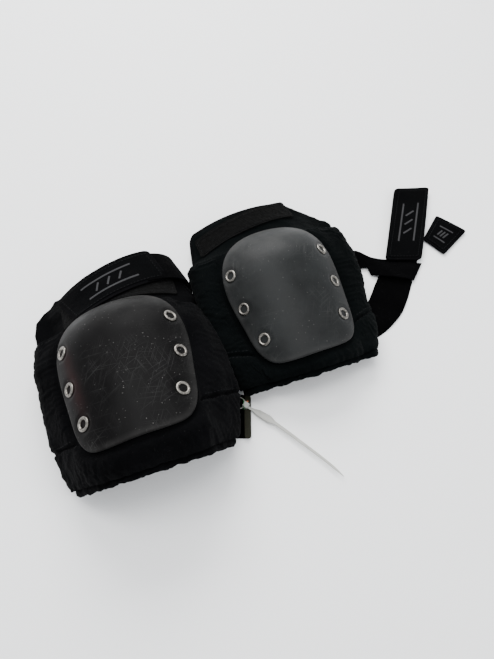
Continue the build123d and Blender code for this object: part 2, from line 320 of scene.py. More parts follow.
def rgb(r, g=None, b=None):
    return (r, r if g is None else g, r if b is None else b, 1.0)


def woven(name, colour, light, pitch=0.9, rough=0.82, sheen=0.010, ribs=False, dust=0.5, depth=0.00018):
    """Cloth with crossing threads, fuzz, faded patches and lint. pitch is a thread in millimetres."""
    n = Nodes(name)
    split = n.add("SeparateXYZ")
    n.put(split.inputs[0], n.uv())
    wobble = n.noise(n.object_place(), 260.0, 2.0)
    k = 2 * pi / (pitch / 1000)
    warp = n.math("SINE", n.math("ADD", n.math("MULTIPLY", split.outputs[0], k),
                                 n.math("MULTIPLY", wobble, 2.4)))
    weft = n.math("SINE", n.math("ADD", n.math("MULTIPLY", split.outputs[1], k * (0.35 if ribs else 1.0)),
                                 n.math("MULTIPLY", wobble, 2.0)))
    thread = n.math("ABSOLUTE", warp) if ribs else n.math("MULTIPLY", warp, weft)
    hair = n.noise(n.object_place(), 1900.0, 2.0)
    height = n.math("ADD", n.math("MULTIPLY", thread, 0.5), n.math("MULTIPLY", hair, 0.5))
    patches = n.noise(n.object_place(), 17.0, 4.0, 0.6)
    fuzz = n.noise(n.object_place(), 620.0, 3.0, 0.7)
    shade = n.math("ADD", n.math("MULTIPLY", n.ramp(patches, 0.35, 0.68), 0.55),
                   n.math("MULTIPLY", n.ramp(fuzz, 0.3, 0.75), 0.35))
    # painted shade: darker in the gaps between threads, lighter on their raised crowns
    shade = n.math("ADD", shade, n.math("MULTIPLY", n.ramp(thread, -1.0, 1.0), 0.22), clamp=True)
    base = n.mix(shade, colour, light)
    lint = n.ramp(n.noise(n.object_place(), 880.0, 1.0), 0.735, 0.80)
    base = n.mix(n.math("MULTIPLY", lint, dust), base, rgb(0.022, 0.022, 0.021))
    n.put(n.bsdf.inputs["Base Color"], base)
    n.put(n.bsdf.inputs["Roughness"], n.ramp(patches, 0.3, 0.7, rough + 0.12, rough))
    n.bsdf.inputs["Sheen Weight"].default_value = sheen
    n.bsdf.inputs["Sheen Roughness"].default_value = 0.45
    n.bsdf.inputs["Specular IOR Level"].default_value = 0.015
    n.put(n.bsdf.inputs["Normal"], n.bump(height, 0.75, depth))
    return n.mat


# direction, fineness and threshold of each set of hairline scratches
SCRATCHES = ((0.5, 60.0, 0.62), (1.15, 50.0, 0.64), (-0.35, 70.0, 0.64), (1.75, 42.0, 0.65))


def cap_plastic(name, tint, streak=False, spec=0.05):
    """Scuffed polyethylene: haze, hairline scratches, specks and a paler rim that is partly wear and partly a
    painted edge highlight, strongest along the top.
    """
    n = Nodes(name)
    place = n.object_place()
    uv = n.uv()
    haze = n.noise(place, 26.0, 5.0, 0.62)
    cloud = n.noise(n.scaled(uv, (22.0, 7.0, 1.0)), 1.0, 4.0, 0.6)
    lines = []
    for angle, stretch, low in SCRATCHES:
        turned = n.scaled(uv, (1, 1, 1), (0, 0, angle))
        field = n.noise(n.scaled(turned, (stretch * 22, stretch * 0.5, 1)), 1.0, 1.0)
        lines.append(n.ramp(field, low, low + 0.05))
    scratch = n.math("MAXIMUM", n.math("MAXIMUM", lines[0], lines[1]), n.math("MAXIMUM", lines[2], lines[3]))
    where = n.ramp(n.noise(place, 19.0, 3.0), 0.40, 0.62)
    scratch = n.math("MULTIPLY", scratch, where)
    speck = n.ramp(n.noise(place, 520.0, 1.0), 0.74, 0.78)
    # paler rim: partly edge wear, partly a painted edge highlight
    rim = n.attribute("rim")
    rim = n.math("MULTIPLY", rim, n.ramp(n.noise(place, 90.0, 4.0), 0.25, 0.65, 0.35, 1.0))
    shade = n.mix(n.ramp(haze, 0.36, 0.70), rgb(*tint), rgb(*[c * 2.1 + 0.0006 for c in tint]))
    shade = n.mix(n.math("MULTIPLY", n.ramp(cloud, 0.45, 0.75), 0.30), shade, rgb(0.012, 0.012, 0.012))
    shade = n.mix(n.math("MULTIPLY", scratch, 0.30), shade, rgb(0.050, 0.050, 0.049))
    shade = n.mix(n.math("MULTIPLY", speck, 0.5), shade, rgb(0.13, 0.127, 0.12))
    # rim mix: edge wear plus a painted edge highlight, toward a paler grey
    shade = n.mix(n.math("MULTIPLY", rim, 0.55), shade, rgb(0.032, 0.031, 0.030))
    dust = n.math("MULTIPLY", n.attribute("dust"), n.ramp(n.noise(place, 55.0, 5.0, 0.65), 0.36, 0.70))
    shade = n.mix(n.math("MULTIPLY", dust, 0.5 if spec > 0.1 else 0.28), shade, rgb(0.036, 0.035, 0.033))
    if streak:
        mark = n.math("MULTIPLY", n.attribute("streak"), n.ramp(haze, 0.3, 0.6, 0.3, 1.0))
        shade = n.mix(n.math("MULTIPLY", mark, 0.55), shade, rgb(0.016, 0.004, 0.004))
    n.put(n.bsdf.inputs["Base Color"], shade)
    rough = n.math("ADD", n.ramp(haze, 0.3, 0.7, 0.42, 0.56), n.math("MULTIPLY", scratch, 0.14))
    rough = n.math("ADD", rough, n.math("MULTIPLY", rim, 0.12))
    n.put(n.bsdf.inputs["Roughness"], rough)
    n.bsdf.inputs["Specular IOR Level"].default_value = spec
    fine = n.noise(place, 900.0, 2.0)
    relief = n.math("SUBTRACT", n.math("MULTIPLY", fine, 0.35), scratch)
    first = n.bump(haze, 0.25, 0.0012)
    n.put(n.bsdf.inputs["Normal"], n.bump(relief, 0.30, 0.00010, first))
    return n.mat


def metal(name):
    """Antique nickel with rubbed bright spots."""
    n = Nodes(name)
    place = n.object_place()
    wear = n.noise(place, 420.0, 4.0, 0.6)
    shade = n.mix(n.ramp(wear, 0.35, 0.65), rgb(0.085, 0.078, 0.070), rgb(0.26, 0.245, 0.22))
    n.put(n.bsdf.inputs["Base Color"], shade)
    n.bsdf.inputs["Metallic"].default_value = 1.0
    n.put(n.bsdf.inputs["Roughness"], n.ramp(wear, 0.3, 0.7, 0.46, 0.28))
    n.put(n.bsdf.inputs["Normal"], n.bump(n.noise(place, 1300.0, 2.0), 0.25, 0.0001))
    return n.mat


def pile(name):
    """Loop tape: a dense field of small fibre loops in rows."""
    n = Nodes(name)
    split = n.add("SeparateXYZ")
    n.put(split.inputs[0], n.uv())
    loops = n.add("TexVoronoi", feature="F1")
    n.put(loops.inputs["Vector"], n.scaled(n.uv(), (1500.0, 950.0, 1.0)))
    loops.inputs["Scale"].default_value = 1.0
    rows = n.math("SINE", n.math("MULTIPLY", split.outputs[1], 2 * pi / 0.0021))
    felt = n.noise(n.object_place(), 240.0, 4.0, 0.7)
    height = n.math("ADD", n.math("SUBTRACT", 1.0, loops.outputs[0]), n.math("MULTIPLY", rows, 0.25))
    # painted shade: darker between the loops, lighter on their tops
    shade = n.math("ADD", n.math("MULTIPLY", n.ramp(felt, 0.35, 0.7), 0.6),
                   n.math("MULTIPLY", n.ramp(height, 0.4, 1.1), 0.4))
    n.put(n.bsdf.inputs["Base Color"], n.mix(shade, rgb(0.0012), rgb(0.0055, 0.0054, 0.0052)))
    n.bsdf.inputs["Roughness"].default_value = 0.9
    n.bsdf.inputs["Sheen Weight"].default_value = 0.015
    n.bsdf.inputs["Specular IOR Level"].default_value = 0.04
    n.put(n.bsdf.inputs["Normal"], n.bump(height, 0.9, 0.0006))
    return n.mat


def plain(name, colour, rough, bump_scale=600.0, depth=0.0002, sheen=0.0, spec=0.4):
    n = Nodes(name)
    place = n.object_place()
    cloudy = n.noise(place, 35.0, 4.0, 0.6)
    darker, lighter = [c * 0.75 for c in colour], [min(c * 1.3, 1.0) for c in colour]
    n.put(n.bsdf.inputs["Base Color"], n.mix(cloudy, rgb(*darker), rgb(*lighter)))
    n.put(n.bsdf.inputs["Roughness"], n.ramp(cloudy, 0.3, 0.7, rough + 0.06, rough - 0.06))
    n.bsdf.inputs["Sheen Weight"].default_value = sheen
    n.bsdf.inputs["Specular IOR Level"].default_value = spec
    n.put(n.bsdf.inputs["Normal"], n.bump(n.noise(place, bump_scale, 3.0), 0.5, depth))
    return n.mat


def nylon_tie(name):
    n = Nodes(name)
    place = n.object_place()
    cloudy = n.noise(place, 60.0, 3.0)
    n.put(n.bsdf.inputs["Base Color"], n.mix(cloudy, rgb(0.30, 0.30, 0.275), rgb(0.45, 0.45, 0.42)))
    n.put(n.bsdf.inputs["Roughness"], n.ramp(cloudy, 0.3, 0.7, 0.42, 0.30))
    n.bsdf.inputs["Subsurface Weight"].default_value = 0.15
    n.bsdf.inputs["Subsurface Radius"].default_value = (0.004, 0.004, 0.0035)
    n.bsdf.inputs["Subsurface Scale"].default_value = 1.0
    n.put(n.bsdf.inputs["Normal"], n.bump(n.noise(place, 500.0, 2.0), 0.2, 0.0001))
    return n.mat


MATS = {
    "cap_left": cap_plastic("cap_left", (0.0010, 0.0009, 0.0009), streak=True),
    "cap_right": cap_plastic("cap_right", (0.0050, 0.0056, 0.0056), spec=0.14),
    "metal": metal("eyelet_metal"),
    "cover_left": woven("cover_left", rgb(0.00078, 0.00081, 0.00096), rgb(0.00246, 0.00249, 0.00285)),
    "cover_right": woven("cover_right", rgb(0.00066, 0.00096, 0.00102), rgb(0.0021, 0.00288, 0.003)),
    "back": woven("stretch_back", rgb(0.0013, 0.0013, 0.0015), rgb(0.00375, 0.00375, 0.00425), pitch=0.7),
    "lining": woven("lining", rgb(0.0012, 0.0012, 0.0013), rgb(0.0035, 0.0035, 0.00375), pitch=0.8),
    "foam": plain("foam", (0.022, 0.022, 0.023), 0.9, 900.0, 0.0005),
    "binding": woven("binding", rgb(0.0009, 0.0009, 0.00108), rgb(0.003, 0.003, 0.00345), pitch=1.3,
                     ribs=True),
    "pile": pile("loop_tape"),
    "elastic": woven("elastic", rgb(0.00026, 0.00024, 0.00034), rgb(0.00078, 0.00075, 0.00092), pitch=1.5,
                     ribs=True, dust=0.7),
    "tab": woven("tab", rgb(0.00078, 0.00078, 0.00096), rgb(0.0024, 0.0024, 0.00276), pitch=0.8),
    "label": woven("label", rgb(0.00035, 0.0004, 0.00051), rgb(0.00088, 0.00098, 0.00122), pitch=0.35,
                   rough=0.66, depth=0.00006),
    "print": woven("label_print", rgb(0.020, 0.020, 0.021), rgb(0.042, 0.042, 0.043), pitch=0.5, rough=0.7,
                   depth=0.00006),
    "thread": plain("thread", (0.0045, 0.0045, 0.0052), 0.7, 1500.0, 0.0001, spec=0.1),
    "tie": nylon_tie("tie_nylon"),
    "olive_tip": woven("olive_tip", rgb(0.010, 0.010, 0.007), rgb(0.030, 0.030, 0.022), pitch=1.2),
    "tag_green": plain("tag_green", (0.05, 0.22, 0.07), 0.5),
    "tag_orange": plain("tag_orange", (0.50, 0.14, 0.05), 0.5),
}


def finish_piece(obj, material, body, nodes=()):
    """Material, body, and the CAD nodes that the piece stands for."""
    obj.data.materials.clear()
    obj.data.materials.append(MATS[material])
    if body == "right_flap_root":
        apply_all(obj)
        start, end = to_row(PADS["right"], [(0, FLAP_START + 1, -45), (0, FLAP_START + 14, -45)])
        tuple(start)
        tuple(end)
        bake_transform(obj)
    else:
        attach(obj, body)
    if nodes:
        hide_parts(*nodes)
    return obj


# ---- the sleeve's own surface ----
def crown_z(y, inset):
    if y > DOME_START:
        return -DOME_R + sqrt(max((DOME_R - inset) ** 2 - (y - DOME_START) ** 2, 1.0))
    drop = max(0.0, SHIN_ROLL_START - y)
    return -inset - (SHIN_ROLL_R - sqrt(SHIN_ROLL_R ** 2 - drop ** 2))


def station(rows, y):
    rows = np.array(rows, float)
    return [np.interp(y, rows[:, 0], rows[:, k]) for k in range(1, rows.shape[1])]


def section(pad, y, inset):
    """The sleeve's outline at station y: crown centre and radius, and each side's line and curl."""
    ex, ey, ez = pad["axes"]
    angle, left, right, turn = station(pad["stations"], y)
    radius = CAP_R - inset
    centre = 1j * (crown_z(y, inset) - radius)
    up = complex(ex[2], ez[2])
    sides = {}
    for side, reach in ((1, right), (-1, left)):
        ideal = turn - (inset - COVER_DEPTH)
        small = max(ideal, 1.5)
        short = small - ideal
        dx = reach - side * turn - ey[0] * y
        dz = FLOOR_GAP + turn * abs(up) - pad["at"][2] - ey[2] * y
        det = ex[0] * ez[2] - ez[0] * ex[2]
        c = complex((dx * ez[2] - ez[0] * dz) / det, (ex[0] * dz - dx * ex[2]) / det)
        c += complex(-side * short, short)
        start = centre + radius * complex(side * sin(radians(angle)), cos(radians(angle)))
        gap = abs(c - start)
        tilt = np.exp(side * 1j * np.arcsin(small / gap))
        touch = start + sqrt(gap ** 2 - small ** 2) * (c - start) / gap * tilt
        low = c - small * up / abs(up)      # where the curl meets the floor
        a0 = np.angle(touch - c)
        turn_by = (side * (a0 - np.angle(low - c))) % (2 * pi)
        sides[side] = start, touch, c, small, a0, turn_by
    return centre, radius, radians(angle), sides


N_CROWN, N_LINE, N_CURL, N_LOW, N_FLOOR = 101, 38, 20, 14, 60


def loop_at(pad, y, inset):
    """Points round the sleeve from its left seam over the crown to the right seam, then along the floor."""
    centre, radius, angle, sides = section(pad, y, inset)
    parts = {}
    up = pad["axes"][:, 2]
    for side, (start, touch, c, small, a0, turn_by) in sides.items():
        arc = c + small * np.exp(1j * (a0 - side * turn_by * np.linspace(0, 1, 200)))
        heights = pad["at"][2] + y * up[1] + arc.real * up[0] + arc.imag * up[2]
        cut = np.interp(-SEAM_H, -heights, np.linspace(0, 1, 200)) if heights[0] > SEAM_H else 0.3
        cut = max(cut, 0.12)
        line = start + (touch - start) * np.linspace(0, 1, N_LINE)
        upper = c + small * np.exp(1j * (a0 - side * turn_by * cut * np.linspace(0, 1, N_CURL)))
        lower = c + small * np.exp(1j * (a0 - side * turn_by * (cut + (1 - cut) * np.linspace(0, 1, N_LOW))))
        parts[side] = line, upper, lower
    crown = centre + radius * np.exp(1j * (pi / 2 - np.linspace(-angle, angle, N_CROWN)))
    l_line, l_up, l_low = parts[-1]
    r_line, r_up, r_low = parts[1]
    front = np.concatenate([l_up[::-1][:-1], l_line[::-1][:-1], crown, r_line[1:], r_up[1:]])
    floor = r_low[-1] + (l_low[-1] - r_low[-1]) * np.linspace(0, 1, N_FLOOR)
    back = np.concatenate([r_low[:-1], floor, l_low[::-1][1:]])
    return front, back


def shin_cut(pad, local):
    """How far a pad-frame point is past the slanted shin edge, in millimetres."""
    row = pad["at"] + local @ pad["axes"]
    n = np.array([0, 1, pad["shin_lean"]]) / sqrt(1 + pad["shin_lean"] ** 2)
    return row @ n - (pad["crown"][1] + pad["shin_floor"]) * n[1]


def sleeve_grid(pad, inset, which, rows, end=COVER_END, past=0.0, ease=None):
    """Grid of pad-frame points on one side of the sleeve, from the slanted shin edge to station end."""
    ys = np.linspace(pad["shin_end"], end, 170)
    full = []
    for y in ys:
        p = loop_at(pad, y, inset)[which]
        full.append(np.stack([p.real, np.full(len(p), y), p.imag], axis=1))
    full = np.array(full)
    reach = shin_cut(pad, full.reshape(-1, 3)).reshape(full.shape[:2])
    t = np.linspace(0, 1, rows) if ease is None else ease
    out = np.empty((rows, full.shape[1], 3))
    for j in range(full.shape[1]):
        y0 = np.interp(past, reach[:, j], ys)
        want = y0 + (end - y0) * t
        for k in range(3):
            out[:, j, k] = np.interp(want, ys, full[:, j, k])
    return out


# ---- the cap's outline and surface ----
def spline_through(points, start_dir, end_dir, samples):
    """Smooth curve through points with given end directions, by chord length."""
    p = np.array(points, float)
    h = np.linalg.norm(np.diff(p, axis=0), axis=1)
    t = np.concatenate([[0], np.cumsum(h)])
    n = len(p)
    a = np.zeros((n, n))
    b = np.zeros((n, 2))
    a[0, 0] = a[-1, -1] = 1
    b[0], b[-1] = start_dir, end_dir
    for i in range(1, n - 1):
        a[i, i - 1], a[i, i], a[i, i + 1] = h[i], 2 * (h[i] + h[i - 1]), h[i - 1]
        b[i] = 3 * (h[i] * (p[i] - p[i - 1]) / h[i - 1] + h[i - 1] * (p[i + 1] - p[i]) / h[i])
    m = np.linalg.solve(a, b)
    s = np.linspace(0, t[-1], samples)
    k = np.clip(np.searchsorted(t, s, side="right") - 1, 0, n - 2)
    u = ((s - t[k]) / h[k])[:, None]
    hk = h[k][:, None]
    return ((2 * u ** 3 - 3 * u ** 2 + 1) * p[k] + (u ** 3 - 2 * u ** 2 + u) * hk * m[k]
            + (3 * u ** 2 - 2 * u ** 3) * p[k + 1] + (u ** 3 - u ** 2) * hk * m[k + 1])


right_half = spline_through(CAP_HALF, (1, 0), (-1, 0), 200)
OUTLINE = np.concatenate([right_half, (right_half * [-1, 1])[::-1][1:-1]])


def cap_z(x, y, inset=0.0):
    """Height of the cap's surface, or of a layer inset below it, over pad-frame x and y."""
    crown = np.array([crown_z(v, inset) for v in np.atleast_1d(y)])
    if inset == 0:
        crown = np.where(np.atleast_1d(y) > DOME_START, crown, 0.0)
    r = CAP_R - inset
    return crown - r + np.sqrt(np.maximum(r * r - np.atleast_1d(x) ** 2, 1.0))


def cap_normal(x, y):
    e = 0.05
    dx = (cap_z(x + e, y) - cap_z(x - e, y)) / (2 * e)
    dy = (cap_z(x, y + e) - cap_z(x, y - e)) / (2 * e)
    n = np.stack([-dx, -dy, np.ones_like(dx)], axis=1)
    return n / np.linalg.norm(n, axis=1, keepdims=True)


def eyelet_spots():
    for a, y in EYELETS:
        for side in (1, -1):
            x = side * a
            n = cap_normal(np.array([x]), np.array([y]))[0]
            yield np.array([x, y, cap_z(x, np.array([y]))[0]]), n


def cap_dimples(x, y):
    """Depth of the shallow press mark round each eyelet."""
    drop = np.zeros(len(x))
    for a, b in EYELETS:
        for side in (1, -1):
            d = np.hypot((x - side * a) / cos(np.arcsin(a / CAP_R)), y - b)
            drop = np.maximum(drop, DIMPLE_DEPTH * (1 - smooth(d, *DIMPLE_FADE)))
    return drop


def outline_distance(s, y):
    """Signed distance from the cap's edge, measured on the flattened surface; positive outside."""
    line = np.stack([CAP_R * np.arcsin(np.clip(OUTLINE[:, 0] / CAP_R, -1, 1)), OUTLINE[:, 1]], axis=1)
    a = line
    d = np.roll(line, -1, axis=0) - a
    pts = np.stack([s, y], axis=1)
    best = np.full(len(pts), 1e9)
    inside = np.zeros(len(pts), bool)
    for (ax, ay), (dx, dy) in zip(a, d):
        rel = pts - (ax, ay)
        t = np.clip((rel @ (dx, dy)) / (dx * dx + dy * dy + 1e-12), 0, 1)
        best = np.minimum(best, np.hypot(rel[:, 0] - t * dx, rel[:, 1] - t * dy))
        crosses = ((ay > pts[:, 1]) != (ay + dy > pts[:, 1]))
        if abs(dy) > 1e-9:
            inside ^= crosses & (pts[:, 0] < ax + (pts[:, 1] - ay) / dy * dx)
    return np.where(inside, -best, best)


def build_cap(pad):
    """Domed shell: outer face, rounded edge and inner face on one polar grid."""
    name = pad["name"]
    rays = len(OUTLINE)
    centre = np.array([0.0, 6.0])
    shares = list(np.linspace(0.03, 0.90, 44)) + list(np.linspace(0.915, 1.0, 9)[:-1])
    rim_r = CAP_T / 2
    spokes = OUTLINE - centre
    length = np.linalg.norm(spokes, axis=1, keepdims=True)
    unit = spokes / length
    # wear holds each point's rim paleness: edge wear plus a painted edge highlight
    rows, wear = [], []
    for share in shares:
        xy = centre + spokes * share - unit * (rim_r * share)
        rows.append((xy, 0.0))
        gap = length[:, 0] * (1 - share)
        wear.append(0.8 * (1 - smooth(gap, 0.5, 6.0)))
    for angle in np.linspace(0, pi, 9):
        xy = OUTLINE - unit * rim_r * (1 - sin(angle))
        rows.append((xy, rim_r * (1 - cos(angle))))
        wear.append(np.full(rays, 1.0))
    for share in np.linspace(0.94, 0.05, 16):
        rows.append((centre + spokes * share - unit * rim_r, CAP_T))
        wear.append(np.zeros(rays))
    verts = []
    for xy, depth in rows:
        x, y = xy[:, 0], xy[:, 1]
        n = cap_normal(x, y)
        base = np.stack([x, y, cap_z(x, y)], axis=1)
        verts.append(base - n * (depth + cap_dimples(x, y))[:, None])
    verts = np.array(verts).reshape(-1, 3)
    flat = np.stack([CAP_R * np.arcsin(np.clip(verts[:, 0] / CAP_R, -1, 1)), verts[:, 1]], axis=1) / 1000
    faces = grid_faces(len(rows), rays, wrap=True, flip=True)
    faces.append(list(range(rays)))
    faces.append(list(range((len(rows) - 1) * rays, len(rows) * rays))[::-1])
    obj = add_object(f"{name}_cap_shell", to_row(pad, verts), faces, flat)
    wear = np.concatenate(wear)
    # painted highlight: the rim's paleness grows toward the cap's top edge
    top_rim_highlight = smooth(verts[:, 1], 40, 84)
    rim = obj.data.attributes.new("rim", "FLOAT", "POINT")
    rim.data.foreach_set("value", np.clip(wear * (0.55 + 0.6 * top_rim_highlight), 0, 1))
    dust = obj.data.attributes.new("dust", "FLOAT", "POINT")
    side_dust = 0.35 * smooth(np.abs(verts[:, 0]), 38, 60)
    dust.data.foreach_set("value", np.clip(smooth(verts[:, 1], 30, 80) + side_dust, 0, 1))
    mark = obj.data.attributes.new("streak", "FLOAT", "POINT")
    x, y = verts[:, 0], verts[:, 1]
    streak = np.exp(-((x + 47 + 0.10 * y) / 6.0) ** 2) * smooth(y, -55, -15) * (1 - smooth(y, 26, 52))
    mark.data.foreach_set("value", streak)
    finish_piece(obj, f"cap_{name}", f"{name}_pad", [f"{name}_cap"])
    return obj


def revolve(profile, spot, normal, sides=40):
    """Ring turned about an eyelet's axis; profile holds (radius, height) pairs."""
    up = normal
    a = np.cross([0, 1, 0], up)
    a /= np.linalg.norm(a)
    b = np.cross(up, a)
    turn = np.linspace(0, 2 * pi, sides, endpoint=False)
    ring = [spot + up * h + r * (np.cos(t) * a + np.sin(t) * b) for r, h in profile for t in turn]
    return np.array(ring), grid_faces(len(profile), sides, wrap=True)


# radius and height of each eyelet's section, and of the ring it is rolled over
EYELET_PROFILE = [(4.5, -6.6), (4.5, -0.4), (6.2, -0.9), (6.9, -0.6), (7.05, -0.1), (6.8, 0.45), (6.2, 0.85),
                  (5.5, 1.02), (4.8, 0.92), (4.2, 0.45), (3.9, -0.3), (3.8, -1.2), (3.8, -6.6)]
WASHER_PROFILE = [(4.7, -7.2), (7.4, -7.2), (7.4, -6.4), (4.7, -6.4)]
EYELET_SINK = 0.55


def build_eyelets(pad):
    name = pad["name"]
    for label, shape, node in (("eyelet_rings", EYELET_PROFILE, "cap_eyelets"),
                               ("eyelet_backs", WASHER_PROFILE, "eyelet_washers")):
        verts, faces = [], []
        for spot, n in eyelet_spots():
            closed = shape + shape[:1]
            v, f = revolve(closed, spot - n * EYELET_SINK, n)
            faces += [[i + len(verts) for i in quad] for quad in f]
            verts += list(v)
        obj = add_object(f"{name}_{label}", to_row(pad, verts), faces)
        weld = obj.modifiers.new("weld", "WELD")
        weld.merge_threshold = 0.00001
        apply_all(obj)
        finish_piece(obj, "metal", f"{name}_pad", [f"{name}_{node}"])


# ---- stitches and small printed marks ----
def stitches(line, normals, length=2.7, gap=1.3, radius=0.33, sink=0.1):
    """Row of thread stitches along a line of points on a surface, all in millimetres."""
    line = np.asarray(line, float)
    t = chord(line)
    verts, faces = [], []
    sides, rings = 6, (-1.0, -0.8, -0.3, 0.3, 0.8, 1.0)
    fat = (0.05, 0.75, 1.0, 1.0, 0.75, 0.05)
    for at in np.arange(length, t[-1] - length / 2, length + gap):
        p = np.array([np.interp(at, t, line[:, k]) for k in range(3)])
        q = np.array([np.interp(at + 0.5, t, line[:, k]) for k in range(3)])
        n = np.array([np.interp(at, t, normals[:, k]) for k in range(3)])
        along = q - p
        if np.linalg.norm(along) < 1e-9:
            continue
        along /= np.linalg.norm(along)
        n /= np.linalg.norm(n)
        side = np.cross(n, along)
        start = len(verts)
        for r, f in zip(rings, fat):
            for k in range(sides):
                a = 2 * pi * k / sides
                rise = radius * f * sin(a) - sink - 0.35 * radius * r * r
                verts.append(p + along * r * length / 2 + n * rise
                             + side * radius * f * cos(a))
        faces += grid_faces(len(rings), sides, wrap=True, start=start)
        faces.append([start + k for k in range(sides)][::-1])
        faces.append([start + (len(rings) - 1) * sides + k for k in range(sides)])
    return verts, faces


def stitch_object(name, runs, place, body, slot, **sizes):
    """Thread stitches along several (line, normals) runs; place turns millimetres into the shared frame."""
    verts, faces = [], []
    for line, normals in runs:
        v, f = stitches(line, normals, **sizes)
        faces += [[i + len(verts) for i in q] for q in f]
        verts += v
    obj = add_object(name, place(np.array(verts)), faces)
    return finish_piece(obj, "thread", body)


# ---- cloth settling ----
CLOTH_EXCESS = 0.028          # how much longer the cloth is than its padding
CLOTH_FRAMES = 20
PADDING_DEPTH = 0.0013        # from the cloth down to the padding that it rests on, metres
SETTLE_LIMIT = 0.0040         # furthest that a point may move, metres


def settle(name, grid, n, free):
    """Lets over-long cloth buckle between the lines where it is held, over the padding under it.

    grid is in metres, n its outward normals, free is 1 where the cloth can move and 0 where it is held.
    Returns how far each point moved."""
    rows, cols = grid.shape[:2]
    ri, ci = np.arange(0, rows, 2), np.arange(0, cols, 2)
    coarse = grid[np.ix_(ri, ci)]
    cloth = add_object(f"{name}_settling", coarse.reshape(-1, 3), grid_faces(len(ri), len(ci)))
    under = add_object(f"{name}_padding", (coarse - n[np.ix_(ri, ci)] * PADDING_DEPTH).reshape(-1, 3),
                       grid_faces(len(ri), len(ci)))
    under.modifiers.new("collision", "COLLISION")
    under.collision.thickness_outer = 0.0005
    held = cloth.vertex_groups.new(name="held")
    loose = free[np.ix_(ri, ci)].ravel()
    for i, f in enumerate(loose):
        held.add([i], float(1 - f), "REPLACE")
    cloth_mod = cloth.modifiers.new("cloth", "CLOTH")
    rules = cloth_mod.settings
    rules.quality = 6
    rules.mass = 0.25
    rules.tension_stiffness = rules.compression_stiffness = 20
    rules.shear_stiffness = 8
    rules.bending_stiffness = 0.35
    rules.vertex_group_mass = "held"
    rules.shrink_min = -CLOTH_EXCESS
    cloth_mod.collision_settings.distance_min = 0.0006
    scene = bpy.context.scene
    for frame_number in range(1, CLOTH_FRAMES + 1):
        scene.frame_set(frame_number)
    graph = bpy.context.evaluated_depsgraph_get()
    moved = np.array([v.co for v in cloth.evaluated_get(graph).data.vertices]).reshape(coarse.shape) - coarse
    scene.frame_set(1)
    for obj in (cloth, under):
        bpy.data.objects.remove(obj)
    full = np.empty_like(grid)
    for k in range(3):
        wide = np.array([np.interp(np.arange(cols), ci, moved[i, :, k]) for i in range(len(ri))])
        full[:, :, k] = np.array([np.interp(np.arange(rows), ri, wide[:, j]) for j in range(cols)]).T
    amount = np.linalg.norm(full, axis=2, keepdims=True)
    full *= np.minimum(1.0, SETTLE_LIMIT / np.maximum(amount, 1e-9))
    return full * free[:, :, None]


# ---- padded sleeve ----
NEIGHBOUR_BULGE = {"left": 6.5, "right": 4.5}     # how far the side panels swell toward the other pad


